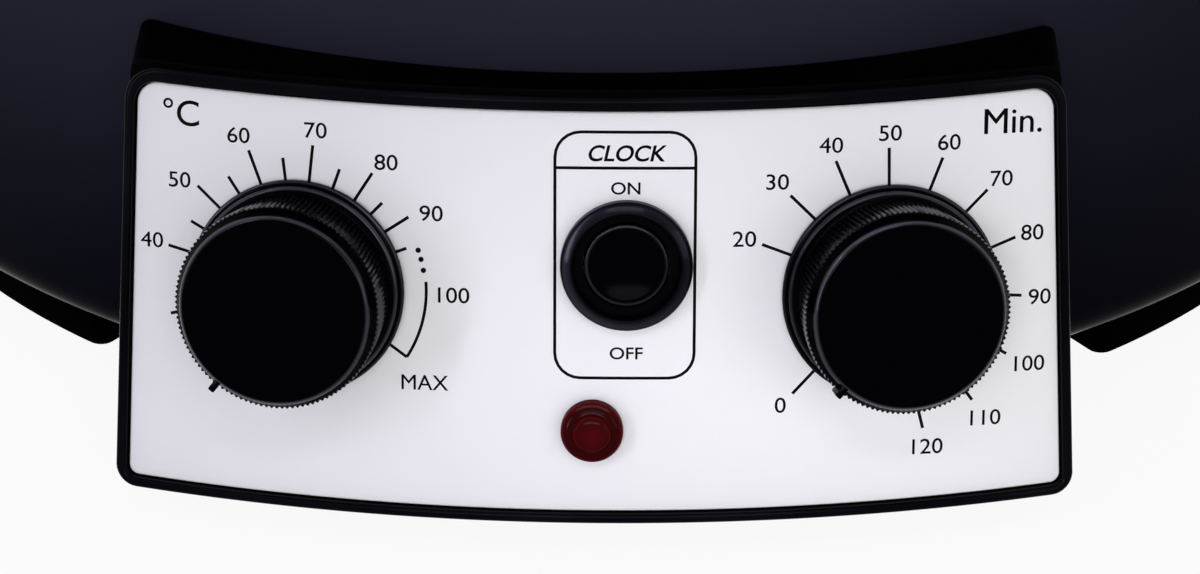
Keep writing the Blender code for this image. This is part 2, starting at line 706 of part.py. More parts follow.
def make_sensor():
    """The thermostat's bulb under the spreader, its clip, its capillary tube and the thermal cut-out."""
    height = SPREADER_UNDERSIDE - GAP - BULB_RADIUS
    lie = Matrix.Translation((0, -BULB_FORWARD, height)) @ Matrix.Rotation(math.pi / 2, 4, "Y")
    bulb_frame = empty("bulb_frame", lie, axis)
    smooth(rod("sensor_bulb", BULB_RADIUS, -BULB_LENGTH / 2, BULB_LENGTH / 2,
               SMALL_STEPS, COPPER, bulb_frame))
    outer = BULB_RADIUS + GAP + CLIP_SHEET
    inner = BULB_RADIUS + GAP
    quarter = math.pi / 2
    top = -BULB_RADIUS
    wing = 2 * BULB_RADIUS
    # In the bulb's frame X points down, so the saddle's wings lie towards minus X.
    outline = [(top, -inner - wing), (top + CLIP_SHEET, -inner - wing)]
    outline += [(top + CLIP_SHEET, -outer)] + arc(0.0, 0.0, outer, -quarter, quarter, 8)
    outline += [(top + CLIP_SHEET, outer), (top + CLIP_SHEET, inner + wing), (top, inner + wing)]
    outline += [(top, inner)] + arc(0.0, 0.0, inner, quarter, -quarter, 8) + [(top, -inner)]
    prism("bulb_clip", [outline], -CLIP_WIDTH / 2, CLIP_WIDTH / 2, STEEL, bulb_frame)
    cutout_frame = empty("cutout_frame", Matrix.Translation((CUTOUT_ACROSS, -CUTOUT_FORWARD, 0)), axis)
    seat = SPREADER_UNDERSIDE - GAP
    smooth(rod("thermal_cutout", CUTOUT_RADIUS, seat - CUTOUT_HEIGHT, seat,
               SMALL_STEPS, INNER_PLASTIC, cutout_frame))


make_heater()
make_sensor()


# Base plate, feet and screws
def make_base():
    plate_radius = FLANGE_RADIUS - GAP
    hole = STUD_RADIUS + STUD_CLEARANCE
    profile = ring_profile(hole, plate_radius, SKIRT_LIFT, SKIRT_LIFT + BASE_SHEET)
    turned("base_plate", profile, ROUND_STEPS, STEEL, axis)
    hex_nut("base_nut", hole, HEX_RADIUS, SKIRT_LIFT - GAP - HEX_HEIGHT, SKIRT_LIFT - GAP, axis)


def foot_outline():
    """The foot's top, in a frame at the foot's screw with -Y pointing out from the pot's axis."""
    half = FOOT_SPAN / 2
    quarter = math.pi / 2
    outer = arc(0.0, FOOT_SCREW_RADIUS, FOOT_OUTER, -quarter - half, -quarter + half, 4)
    inner = arc(0.0, FOOT_SCREW_RADIUS, FOOT_INNER, -quarter + half, -quarter - half, 4)
    return outer + inner


def taper_foot(bm):
    """Draws the tread in from the foot's top."""
    middle = FOOT_SCREW_RADIUS - (FOOT_INNER + FOOT_OUTER) / 2
    for vert in bm.verts:
        if vert.co.z < FOOT_POCKET:
            vert.co.x *= 1 - (1 - FOOT_TREAD_SHARE) / 2
            vert.co.y = middle + (vert.co.y - middle) * FOOT_TREAD_SHARE


def make_foot(place_name, frame):
    top = SKIRT_LIFT - GAP
    foot = prism("foot_" + place_name, [foot_outline()], 0.0, top, FOOT_BLACK, frame, taper_foot)
    bevel(foot, FOOT_EDGE, 1)
    combine(foot, rod("foot_hole_cutter", SCREW_RADIUS + GAP, -OVERRUN, top + OVERRUN,
                      SMALL_STEPS, None, frame))
    combine(foot, rod("foot_pocket_cutter", SCREW_HEAD_RADIUS + 2 * GAP, -OVERRUN, FOOT_POCKET,
                      SMALL_STEPS, None, frame))
    head_top = FOOT_POCKET - GAP
    tip = SKIRT_LIFT + POT_SHEET + FOOT_SCREW_PAST
    profile = [(0.0, tip), (SCREW_RADIUS, tip), (SCREW_RADIUS, head_top), (SCREW_HEAD_RADIUS, head_top),
               (SCREW_HEAD_RADIUS, head_top - SCREW_HEAD_HEIGHT), (0.0, head_top - SCREW_HEAD_HEIGHT)]
    smooth(turned("foot_screw_" + place_name, profile, SMALL_STEPS, STEEL, frame))


make_base()
for foot_name, foot_frame in zip(FOOT_PLACES, foot_frames):
    make_foot(foot_name, foot_frame)


# Mains entry
def make_mains_entry():
    seat = GAP
    profile = [(GLAND_BORE, seat + GLAND_PROUD), (GLAND_HEAD * GLAND_NOSE_SHARE, seat + GLAND_PROUD),
               (GLAND_HEAD, seat + GLAND_PROUD / 2), (GLAND_HEAD, seat), (GLAND_BARREL, seat),
               (GLAND_BARREL, -GLAND_INSIDE), (GLAND_BORE, -GLAND_INSIDE)]
    smooth(turned("cable_gland", profile, SMALL_STEPS, GLOSS_BLACK, gland_frame))
    high = inner_wall_seat(GLAND_NUT_RADIUS)
    hex_nut("gland_nut", GLAND_BARREL + GAP, GLAND_NUT_RADIUS, high - GLAND_NUT_HEIGHT, high, gland_frame)
    low = SKIRT_LIFT + BASE_SHEET + GAP
    block = box("terminal_block", (-BLOCK_WIDTH / 2, BLOCK_BACK - BLOCK_DEPTH, low),
                (BLOCK_WIDTH / 2, BLOCK_BACK, low + BLOCK_HEIGHT), INNER_PLASTIC, axis)
    shelf = BLOCK_BACK - BLOCK_DEPTH * BLOCK_STEP_SHARE
    step = box("block_step_cutter",
               (-BLOCK_WIDTH, BLOCK_BACK - BLOCK_DEPTH - OVERRUN, low + BLOCK_HEIGHT / 2),
               (BLOCK_WIDTH, shelf, low + 2 * BLOCK_HEIGHT), None, axis)
    combine(block, step)


make_mains_entry()


# Control housing, bezel and fascia plate
def front_outline(inset):
    """The housing's outline seen from the front, in X and Z, moved in by an inset."""
    low_up = -BEZEL_MARGIN
    high_up = PLATE_HEIGHT + BEZEL_TOP_MARGIN
    low = PLATE_BOTTOM + low_up * math.cos(FACE_TILT) + FRONT_WALL_FACE * math.sin(FACE_TILT) + inset
    high = HOUSING_TOP - inset
    edge = BEZEL_MARGIN - HOUSING_INSET
    wide_low = face_point(sheet_half_width(low_up) + edge, low_up, FRONT_WALL_FACE).x - inset
    wide_high = face_point(sheet_half_width(high_up) + edge, high_up, FRONT_WALL_FACE).x - inset
    corner = max(HOUSING_CORNER - inset, HOUSING_CORNER * INNER_CORNER_SHARE)
    quarter = math.pi / 2
    outline = arc(wide_low - corner, low + corner, corner, -quarter, 0, CORNER_STEPS)
    outline += arc(wide_high - corner, high - corner, corner, 0, quarter, CORNER_STEPS)
    outline += arc(corner - wide_high, high - corner, corner, quarter, 2 * quarter, CORNER_STEPS)
    outline += arc(corner - wide_low, low + corner, corner, 2 * quarter, 3 * quarter, CORNER_STEPS)
    return outline


def front_block(name, inset, near, far, material=None):
    """The outline run straight back, from near to far in front of the pot's axis."""
    upright = empty(name + "_frame", Matrix.Rotation(math.pi / 2, 4, "X"), axis)
    return prism(name, [front_outline(inset)], near, far, material, upright)


def make_housing():
    near = POT_RADIUS * 0.75
    far = FACE_RADIUS
    housing = front_block("control_housing", 0.0, near, far, HOUSING_BLACK)
    combine(housing, face_drum("housing_face_cutter", FRONT_WALL_FACE), "INTERSECT")
    hollow = front_block("housing_hollow_cutter", HOUSING_WALL, near - 2 * OVERRUN, far)
    combine(hollow, face_drum("hollow_face_cutter", FRONT_WALL_BACK), "INTERSECT")
    combine(housing, hollow)
    half = HOUSING_BOSS / 2
    reach = max(x for x, z in front_outline(HOUSING_WALL / 2)) - HOUSING_WALL
    front = FACE_SETBACK - math.sqrt(FACE_RADIUS ** 2 - HOUSING_SCREW_ACROSS ** 2) + 2 * HOUSING_BOSS
    back = -math.sqrt(POT_RADIUS ** 2 - (HOUSING_SCREW_ACROSS - half) ** 2) + HOUSING_BOSS
    for side_sign in (-1, 1):
        inner, outer = sorted((side_sign * (HOUSING_SCREW_ACROSS - half), side_sign * reach))
        boss = box("housing_boss_cutter", (inner, front, HOUSING_SCREW_HEIGHT - half),
                   (outer, back, HOUSING_SCREW_HEIGHT + half), None, axis)
        combine(housing, boss, "UNION")
    wall_height = 2 * HOUSING_TOP
    pot_room = turned("pot_room_cutter", [(0.0, wall_height), (POT_RADIUS + GAP, wall_height),
                                          (POT_RADIUS + GAP, -HOUSING_TOP), (0.0, -HOUSING_TOP)],
                      ROUND_STEPS, None, axis)
    combine(housing, pot_room)
    for frame in housing_screw_frames:
        combine(housing, rod("boss_hole_cutter", HOUSING_SCREW_RADIUS + GAP, -OVERRUN / 2,
                             HOUSING_SCREW_REACH + 2 * GAP, SMALL_STEPS, None, frame))
    smooth(housing)
    return housing


def make_housing_screw(side, frame):
    seat = inner_wall_seat(HOUSING_SCREW_HEAD)
    end = seat - HOUSING_SCREW_HEAD_HEIGHT
    profile = [(0.0, HOUSING_SCREW_REACH), (HOUSING_SCREW_RADIUS, HOUSING_SCREW_REACH),
               (HOUSING_SCREW_RADIUS, seat), (HOUSING_SCREW_HEAD, seat), (HOUSING_SCREW_HEAD, end),
               (0.0, end)]
    smooth(turned("housing_screw_" + side, profile, SMALL_STEPS, STEEL, frame))


left_dial = empty("thermostat_axis", face_matrix(-DIAL_ACROSS, DIAL_UP), axis)
right_dial = empty("timer_axis", face_matrix(DIAL_ACROSS, DIAL_UP), axis)
button_frame = empty("button_axis", face_matrix(BUTTON_ACROSS, BUTTON_UP), axis)
lamp_frame = empty("lamp_axis", face_matrix(LAMP_ACROSS, LAMP_UP), axis)

control_housing = make_housing()
fascia = prism("fascia_plate", [sheet_outline(0.0, 0.0, PLATE_BOTTOM_CORNER, PLATE_TOP_CORNER)],
               -PLATE_SHEET, 0.0, PLATE_WHITE, axis, bend_onto_face)
for frame, barrel in ((left_dial, BUSHING_RADIUS), (right_dial, BUSHING_RADIUS),
                      (button_frame, BARREL_RADIUS), (lamp_frame, LENS_BARREL)):
    panel_hole = rod("panel_hole_cutter", barrel + GAP, -OVERRUN, OVERRUN, MID_STEPS, None, frame)
    combine(fascia, panel_hole)
    combine(control_housing, panel_hole)
for side, frame in zip(("left", "right"), housing_screw_frames):
    make_housing_screw(side, frame)

bezel = prism("bezel", [sheet_outline(BEZEL_MARGIN, BEZEL_TOP_MARGIN, PLATE_BOTTOM_CORNER + BEZEL_MARGIN,
                                      PLATE_TOP_CORNER + BEZEL_MARGIN),
                        sheet_outline(GAP, GAP, PLATE_BOTTOM_CORNER + GAP, PLATE_TOP_CORNER + GAP)],
              FRONT_WALL_FACE + GAP, BEZEL_PROUD, GLOSS_BLACK, axis, bend_bezel)
smooth(bezel)


# Dials
CONTROL_FRONT = FRONT_WALL_BACK - CONTROL_SETBACK - GAP


def knob_profile():
    """Down the knob's outer side from its front disc, then up through its hollow underside."""
    shares = KNOB_RIM_SHARES + KNOB_GRIP_SHARES + KNOB_SKIRT_SHARES
    bore = SPINDLE_RADIUS + GAP
    end = SPINDLE_TIP + GAP
    profile = [(0.0, KNOB_HEIGHT)]
    profile += [(r * KNOB_RADIUS, h * KNOB_HEIGHT) for r, h in shares]
    profile += [(KNOB_CAVITY_RADIUS, KNOB_FOOT), (KNOB_CAVITY_RADIUS, KNOB_CAVITY_DEPTH)]
    profile += [(bore, KNOB_CAVITY_DEPTH), (bore, end), (0.0, end)]
    return profile


def make_knob(name, frame):
    knob = turned(name, knob_profile(), MID_STEPS, KNOB_BLACK, frame)
    nose_frame = empty(name + "_nose_frame", Matrix.Rotation(-NOSE_TURN, 4, "Z"), frame)
    nose = box(name + "_nose_cutter", (-NOSE_WIDTH / 2, NOSE_INNER, NOSE_LOW),
               (NOSE_WIDTH / 2, NOSE_OUTER, NOSE_HIGH), None, nose_frame)
    combine(knob, nose, "UNION")
    smooth(knob)


def make_dial(name, frame):
    hex_nut(name + "_nut", BUSHING_RADIUS + GAP, DIAL_NUT_RADIUS, GAP, GAP + DIAL_NUT_HEIGHT, frame)
    low = -BUSHING_BORE_DEPTH + GAP
    smooth(rod(name + "_shaft", SPINDLE_RADIUS, low, SPINDLE_TIP, SMALL_STEPS, STEEL, frame))
    make_knob(name + "_knob", frame)


def make_thermostat_body():
    bore = SPINDLE_RADIUS + GAP
    depth = -BUSHING_BORE_DEPTH
    body = box("thermostat_body",
               (-THERMOSTAT_WIDTH / 2, -THERMOSTAT_TALL / 2, CONTROL_FRONT - THERMOSTAT_DEPTH),
               (THERMOSTAT_WIDTH / 2, THERMOSTAT_TALL / 2, CONTROL_FRONT), INNER_PLASTIC, left_dial)
    bushing = rod("thermostat_bushing_cutter", BUSHING_RADIUS, depth - OVERRUN / 2, BUSHING_TIP, SMALL_STEPS,
                  None, left_dial)
    combine(body, bushing, "UNION")
    combine(body, rod("thermostat_bore_cutter", bore, depth, BUSHING_TIP + OVERRUN,
                      SMALL_STEPS, None, left_dial))


def make_timer_body():
    bore = SPINDLE_RADIUS + GAP
    back = CONTROL_FRONT - TIMER_DEPTH
    profile = [(0.0, -BUSHING_BORE_DEPTH), (bore, -BUSHING_BORE_DEPTH), (bore, BUSHING_TIP),
               (BUSHING_RADIUS, BUSHING_TIP), (BUSHING_RADIUS, CONTROL_FRONT), (TIMER_RADIUS, CONTROL_FRONT),
               (TIMER_RADIUS, back), (0.0, back)]
    smooth(turned("timer_body", profile, MID_STEPS, INNER_PLASTIC, right_dial))


make_thermostat_body()
make_timer_body()
make_dial("thermostat", left_dial)
make_dial("timer", right_dial)


# Push button
def make_button():
    bore = CAP_RADIUS + CAP_CLEARANCE
    profile = [(r * COLLAR_RADIUS, h * COLLAR_HEIGHT) for r, h in COLLAR_CREST_SHARES]
    profile += [(COLLAR_RADIUS, GAP), (BARREL_RADIUS, GAP), (BARREL_RADIUS, -BARREL_LENGTH),
                (bore, -BARREL_LENGTH), (bore, WELL_FLOOR), (WELL_RADIUS, WELL_FLOOR),
                (WELL_RADIUS, COLLAR_HEIGHT * WELL_LIP_SHARE)]
    smooth(turned("button_collar", profile, MID_STEPS, GLOSS_BLACK, button_frame))
    curve = face_radius(BUTTON_UP)
    nut_sag = curve - math.sqrt(curve ** 2 - BUTTON_NUT_RADIUS ** 2)
    nut_high = FRONT_WALL_BACK - nut_sag - GAP
    hex_nut("button_nut", BARREL_RADIUS + GAP, BUTTON_NUT_RADIUS, nut_high - BUTTON_NUT_HEIGHT, nut_high,
            button_frame)

    cap = [(r * CAP_RADIUS, CAP_RIM - h * CAP_DISH) for r, h in CAP_DISH_SHARES]
    cap += [(CAP_RADIUS, CAP_RIM - GAP), (CAP_RADIUS, CAP_UNDERSIDE), (PLUNGER_RADIUS, CAP_UNDERSIDE),
            (PLUNGER_RADIUS, PLUNGER_TIP), (0.0, PLUNGER_TIP)]
    smooth(turned("button_cap", cap, MID_STEPS, KNOB_BLACK, button_frame))

    top = -BARREL_LENGTH - GAP
    hole = PLUNGER_RADIUS + GAP
    hole_end = PLUNGER_TIP - BUTTON_TRAVEL - GAP
    switch = [(0.0, hole_end), (hole, hole_end), (hole, top), (SWITCH_RADIUS, top),
              (SWITCH_RADIUS, top - SWITCH_DEPTH), (0.0, top - SWITCH_DEPTH)]
    smooth(turned("button_switch", switch, SMALL_STEPS, INNER_PLASTIC, button_frame))

    high = CAP_UNDERSIDE - GAP - SPRING_WIRE
    low = top + GAP + SPRING_WIRE
    count = SPRING_TURNS * SPRING_TURN_POINTS
    path = []
    for i in range(count + 1):
        angle = 2 * math.pi * i / SPRING_TURN_POINTS
        path.append((SPRING_RADIUS * math.cos(angle), SPRING_RADIUS * math.sin(angle),
                     low + (high - low) * i / count))
    smooth(tube("button_spring", path, SPRING_WIRE, STEEL, button_frame, 1))


make_button()


# Lamp
def make_lamp():
    barrel_end = FRONT_WALL_BACK - GAP
    lens = [(0.0, LENS_HEIGHT)]
    lens += [(r * LENS_RADIUS, h * LENS_HEIGHT) for r, h in LENS_SHARES]
    lens += [(LENS_RADIUS, GAP), (LENS_BARREL, GAP), (LENS_BARREL, barrel_end), (0.0, barrel_end)]
    smooth(turned("lamp_lens", lens, MID_STEPS, LENS_RED, lamp_frame))
    high = barrel_end - GAP
    body = [(0.0, high), (LAMP_BODY_RADIUS, high), (LAMP_BODY_RADIUS, high - LAMP_BODY_DEPTH),
            (0.0, high - LAMP_BODY_DEPTH)]
    smooth(turned("lamp_body", body, SMALL_STEPS, INNER_PLASTIC, lamp_frame))


make_lamp()


# Handles
HANDLE_HEIGHT = RIM_HEIGHT - HANDLE_DROP
PAD_RADIUS = POT_RADIUS + STRAP_THICK + 2 * GAP


def polar(radius, angle):
    return (radius * math.cos(angle), radius * math.sin(angle))


def handle_outline():
    """The handle seen from above, on the +X side of the pot's axis: two pads, two arms and the grip."""
    outer_x = POT_RADIUS + HANDLE_REACH
    inner_x = outer_x - HANDLE_GRIP
    wide = HANDLE_HALF_WIDTH
    corner = HANDLE_CORNER
    pad_face = PAD_RADIUS + PAD_THICK
    quarter = math.pi / 2
    half = [polar(pad_face, PAD_OUTER_ANGLE), polar(pad_face, PAD_STEP_ANGLE)]
    half += arc(outer_x - corner, wide - corner, corner, quarter * 0.9, 0, 4)
    outer = half + [(x, -y) for x, y in reversed(half)]
    inside = corner * 0.6
    half_in = [polar(PAD_RADIUS, PAD_INNER_ANGLE)]
    half_in += arc(inner_x - inside, wide - HANDLE_GRIP * 0.8 - inside, inside, quarter * 0.8, 0, 3)
    inner = half_in + [(x, -y) for x, y in reversed(half_in)]
    back_steps = 5
    low_back = arc(0.0, 0.0, PAD_RADIUS, -PAD_OUTER_ANGLE, -PAD_INNER_ANGLE, back_steps)[:-1]
    high_back = arc(0.0, 0.0, PAD_RADIUS, PAD_INNER_ANGLE, PAD_OUTER_ANGLE, back_steps)[1:]
    return outer + low_back + list(reversed(inner)) + high_back


def round_handle(bm):
    """Rounds the handle's upper and lower rims."""
    merge_flat_faces(bm)
    rims = [edge for edge in bm.edges if abs(edge.verts[0].co.z - edge.verts[1].co.z) < GAP
            and edge.calc_face_angle(0.0) > 1.0]
    bmesh.ops.bevel(bm, geom=rims, offset=HANDLE_EDGE, segments=2, affect="EDGES", profile=0.5)


def make_handle(side, side_sign):
    turn = Matrix.Rotation(0.0 if side_sign > 0 else math.pi, 4, "Z")
    frame = empty("handle_frame_" + side, turn, axis)
    low = HANDLE_HEIGHT - HANDLE_TALL / 2
    handle = prism("handle_" + side, [handle_outline()], low, low + HANDLE_TALL, GLOSS_BLACK, frame,
                   round_handle)
    inner = arc(0.0, 0.0, POT_RADIUS + GAP, STRAP_ANGLE, -STRAP_ANGLE, 12)
    outer = arc(0.0, 0.0, POT_RADIUS + GAP + STRAP_THICK, -STRAP_ANGLE, STRAP_ANGLE, 12)
    strap_low = HANDLE_HEIGHT - STRAP_TALL / 2
    strap = prism("handle_strap_" + side, [outer + inner], strap_low, strap_low + STRAP_TALL, STEEL, frame)
    for end, end_sign in (("front", -side_sign), ("back", side_sign)):
        out = Matrix.Rotation(math.pi / 2, 4, "Y")
        around = Matrix.Rotation(end_sign * HANDLE_SCREW_ANGLE, 4, "Z")
        spot = around @ Matrix.Translation((PAD_RADIUS, 0, HANDLE_HEIGHT))
        screw_frame = empty("handle_screw_frame_" + side + "_" + end, spot @ out, frame)
        hole = rod("handle_hole_cutter", SCREW_RADIUS + GAP, -STRAP_THICK - OVERRUN, PAD_THICK + OVERRUN,
                   SMALL_STEPS, None, screw_frame)
        combine(handle, hole)
        combine(strap, hole)
        seat = PAD_THICK + GAP
        tip = -STRAP_THICK
        profile = [(0.0, seat + SCREW_HEAD_HEIGHT)]
        profile += [(r * SCREW_HEAD_RADIUS, seat + h * SCREW_HEAD_HEIGHT) for r, h in SCREW_DOME_SHARES]
        profile += [(SCREW_HEAD_RADIUS, seat), (SCREW_RADIUS, seat), (SCREW_RADIUS, tip), (0.0, tip)]
        smooth(turned("handle_screw_" + side + "_" + end, profile, SMALL_STEPS, STEEL, screw_frame))
    smooth(handle)


make_handle("left", -1)
make_handle("right", 1)


# Lid
LID_SEAT = RIM_HEIGHT + GAP
LID_TOP = LID_SEAT + LID_RISE


def make_lid():
    """Dome, inner groove that drops inside the rim, flange over the bead and turned-down lip."""
    hole = LID_SCREW_RADIUS + GAP
    groove = RIM_HEIGHT - LID_GROOVE_DROP
    top = []
    for i in range(LID_DOME_STEPS + 1):
        share = i / LID_DOME_STEPS
        radius = max(hole, LID_DOME_RADIUS * share)
        top.append((radius, groove + LID_SHEET + (LID_TOP - groove - LID_SHEET) * (1 - share ** 2)))
    top += [(LID_GROOVE_RADIUS, groove + LID_SHEET), (LID_WALL_RADIUS - LID_SHEET, groove + 2 * LID_SHEET),
            (LID_WALL_RADIUS - LID_SHEET, LID_SEAT), (LID_WALL_RADIUS, LID_SEAT + LID_SHEET),
            (LID_LIP_RADIUS - LID_SHEET, LID_SEAT + LID_SHEET), (LID_LIP_RADIUS, LID_SEAT),
            (LID_LIP_RADIUS, LID_SEAT - LID_LIP_DROP), (LID_LIP_RADIUS - LID_SHEET, LID_SEAT - LID_LIP_DROP),
            (LID_LIP_RADIUS - LID_SHEET, LID_SEAT), (LID_WALL_RADIUS, LID_SEAT),
            (LID_WALL_RADIUS, groove + LID_SHEET), (LID_GROOVE_RADIUS + LID_SHEET / 2, groove)]
    under = [(radius, height - LID_SHEET) for radius, height in reversed(top[:LID_DOME_STEPS + 1])]
    lid = turned("lid", top + under, ROUND_STEPS, ENAMEL, axis)
    smooth(lid)

    knob_foot = LID_TOP + GAP
    bore = LID_SCREW_RADIUS + GAP
    bore_end = LID_TOP + LID_SCREW_REACH + GAP
    knob = [(0.0, knob_foot + LID_KNOB_HEIGHT)]
    knob += [(r * LID_KNOB_RADIUS, knob_foot + h * LID_KNOB_HEIGHT) for r, h in LID_KNOB_SHARES]
    knob += [(bore, knob_foot), (bore, bore_end), (0.0, bore_end)]
    smooth(turned("lid_knob", knob, MID_STEPS, GLOSS_BLACK, axis))

    washer_top = LID_TOP - LID_SHEET - GAP
    washer = ring_profile(hole, LID_WASHER_RADIUS, washer_top - LID_WASHER_SHEET, washer_top)
    smooth(turned("lid_washer", washer, SMALL_STEPS, STEEL, axis))
    head = washer_top - LID_WASHER_SHEET - GAP
    tip = LID_TOP + LID_SCREW_REACH
    screw = [(0.0, tip), (LID_SCREW_RADIUS, tip), (LID_SCREW_RADIUS, head), (LID_SCREW_HEAD_RADIUS, head),
             (LID_SCREW_HEAD_RADIUS, head - LID_SCREW_HEAD_HEIGHT), (0.0, head - LID_SCREW_HEAD_HEIGHT)]
    smooth(turned("lid_screw", screw, SMALL_STEPS, STEEL, axis))


make_lid()


# Jar rack
def make_rack():
    foot = COOKING_FLOOR + GAP
    top = foot + RACK_HEIGHT
    inside = RACK_RADIUS - RACK_SHEET
    profile = [(RACK_EYE, top), (RACK_RADIUS - RACK_CORNER, top), (RACK_RADIUS, top - RACK_CORNER),
               (RACK_RADIUS, foot), (inside, foot), (inside, top - RACK_CORNER),
               (RACK_RADIUS - RACK_CORNER, top - RACK_SHEET), (RACK_EYE, top - RACK_SHEET)]
    rack = turned("jar_rack", profile, ROUND_STEPS, STEEL, axis)

    def holes(bm):
        for share, count in RACK_RING_SHARES:
            for i in range(count):
                turn = Matrix.Rotation(2 * math.pi * i / count, 4, "Z")
                spot = turn @ Matrix.Translation((RACK_RADIUS * share, 0, top))
                bmesh.ops.create_cone(bm, cap_ends=True, segments=RACK_HOLE_SIDES, radius1=RACK_HOLE,
                                      radius2=RACK_HOLE, depth=RACK_HEIGHT, matrix=spot)

    combine(rack, shape("rack_hole_cutter", holes, None, axis))
    smooth(rack)


make_rack()


# Capillary tube and inner wires, between the backs of the controls, the heater and the terminal block
THERMOSTAT_BACK = CONTROL_FRONT - THERMOSTAT_DEPTH - GAP
TIMER_BACK = CONTROL_FRONT - TIMER_DEPTH - GAP
ELEMENT_HEIGHT = SPREADER_UNDERSIDE - GAP - ELEMENT_RADIUS


def straight_lead(frame, across, up, out, length):
    """Three knots straight back from a control, in the pot axis's frame."""
    return [frame.matrix_local @ Vector((across, up, out - length * share)) for share in LEAD_SHARES]


def terminal_lead(side_sign, length):
    """Three knots straight ahead of a terminal of the heater."""
    return [Vector((side_sign * TERMINAL_HALF_GAP, -TERMINAL_REACH - GAP - length * share, ELEMENT_HEIGHT))
            for share in LEAD_SHARES]


def lay_wire(name, knots, radius=WIRE_RADIUS, material=WIRE_SLEEVE):
    smooth(tube(name, smooth_path(knots, WIRE_STEPS), radius, material, axis, 1))


def make_capillary():
    """From the thermostat's back over the shield's lip, between the heater's ends and on to the bulb."""
    across = THERMOSTAT_WIDTH * CAPILLARY_START_SHARES[0]
    up = THERMOSTAT_TALL * CAPILLARY_START_SHARES[1]
    lead = 3 * CAPILLARY_RADIUS
    channel = -TERMINAL_HALF_GAP * CAPILLARY_CHANNEL_SHARE
    over = SHIELD_FLOOR + SHIELD_LIP + lead
    bulb_height = SPREADER_UNDERSIDE - GAP - BULB_RADIUS
    bulb_end = -BULB_LENGTH / 2 - GAP
    knots = straight_lead(left_dial, across, up, THERMOSTAT_BACK, lead)
    knots += [Vector((channel, -(SHIELD_RADIUS + TERMINAL_REACH) / 2, over)),
              Vector((channel, -(BULB_FORWARD + ELEMENT_RING) / 2, bulb_height)),
              Vector((bulb_end - 2 * lead, -BULB_FORWARD - 2 * CAPILLARY_RADIUS, bulb_height)),
              Vector((bulb_end - lead, -BULB_FORWARD, bulb_height)),
              Vector((bulb_end, -BULB_FORWARD, bulb_height))]
    lay_wire("capillary_tube", knots, CAPILLARY_RADIUS, COPPER)


def make_wires():
    lead = 5 * WIRE_RADIUS
    across = THERMOSTAT_WIDTH * WIRE_START_SHARES[0]
    up = THERMOSTAT_TALL * WIRE_START_SHARES[1]
    start = straight_lead(left_dial, across, up, THERMOSTAT_BACK, lead)
    lay_wire("wire_thermostat_to_heater", start + terminal_lead(-1, lead)[::-1])

    low = SKIRT_LIFT + BASE_SHEET + GAP + BLOCK_HEIGHT / 2 + 2 * WIRE_RADIUS
    bend = -FLANGE_RADIUS + SKIRT_EDGE + FLANGE_WIDTH
    block_front = BLOCK_BACK - BLOCK_DEPTH - lead
    block_face = BLOCK_BACK - BLOCK_DEPTH * BLOCK_STEP_SHARE - GAP

    def along_the_floor(across):
        return [Vector((across, bend, low)), Vector((across, block_front, low)),
                Vector((across, block_face, low))]

    off = -TIMER_RADIUS * TIMER_WIRE_SHARE
    start = straight_lead(right_dial, off, off, TIMER_BACK, lead)
    lay_wire("wire_block_to_timer", start + along_the_floor(BLOCK_WIDTH * BLOCK_WIRE_SHARES[1]))
    dip = Vector((0, -TERMINAL_REACH - lead, (low + ELEMENT_HEIGHT) / 2))
    lay_wire("wire_block_to_heater",
             terminal_lead(1, lead) + [dip] + along_the_floor(BLOCK_WIDTH * BLOCK_WIRE_SHARES[0]))


make_capillary()
make_wires()
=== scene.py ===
"""Electric preserving cooker: an enamelled pot with its lid, jar rack and side handles, and a control
housing with a thermostat dial, a timer dial, a push button and a lamp. Metres, +Z up, controls face -Y.
"""
import math

import bmesh
import bpy
from mathutils import Matrix, Vector


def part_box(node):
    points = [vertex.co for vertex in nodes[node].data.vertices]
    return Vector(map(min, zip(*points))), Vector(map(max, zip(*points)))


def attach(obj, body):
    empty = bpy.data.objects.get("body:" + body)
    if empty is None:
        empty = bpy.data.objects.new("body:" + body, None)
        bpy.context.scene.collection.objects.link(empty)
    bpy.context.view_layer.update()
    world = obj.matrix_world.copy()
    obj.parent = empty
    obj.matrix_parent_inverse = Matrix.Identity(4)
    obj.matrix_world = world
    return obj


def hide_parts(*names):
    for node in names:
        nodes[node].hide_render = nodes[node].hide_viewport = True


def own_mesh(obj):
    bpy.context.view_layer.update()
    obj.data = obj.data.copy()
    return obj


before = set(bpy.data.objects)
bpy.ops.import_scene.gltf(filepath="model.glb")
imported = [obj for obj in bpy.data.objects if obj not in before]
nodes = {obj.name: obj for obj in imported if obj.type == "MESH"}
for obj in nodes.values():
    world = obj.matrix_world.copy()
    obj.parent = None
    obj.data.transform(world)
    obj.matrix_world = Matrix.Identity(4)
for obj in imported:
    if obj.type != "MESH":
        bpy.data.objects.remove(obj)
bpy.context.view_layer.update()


# Pot
# One drawn steel vessel, glazed dark blue-black inside and out. Its wall runs on below the cooking floor
# as a skirt, whose rounded foot turns in to a flange for the feet and the base plate.
POT_RADIUS = 0.180
POT_SHEET = 0.0012
POT_BORE = POT_RADIUS - POT_SHEET
COOKING_FLOOR = 0.078
FLOOR_FILLET = 0.012
RIM_HEIGHT = 0.363
RIM_BEAD = 0.0032
SKIRT_LIFT = 0.0127
SKIRT_EDGE = 0.010
FLANGE_WIDTH = 0.020
FLANGE_RADIUS = POT_RADIUS - SKIRT_EDGE - FLANGE_WIDTH
PORT_HALF_WIDTH = 0.0775
PORT_LOW = 0.024
PORT_HIGH = 0.0725
PORT_CORNER = 0.004
CUT_PAST = 0.010
SCREW_BORE = 0.0023
GAP = 0.0003
pot_low, pot_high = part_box("pot")
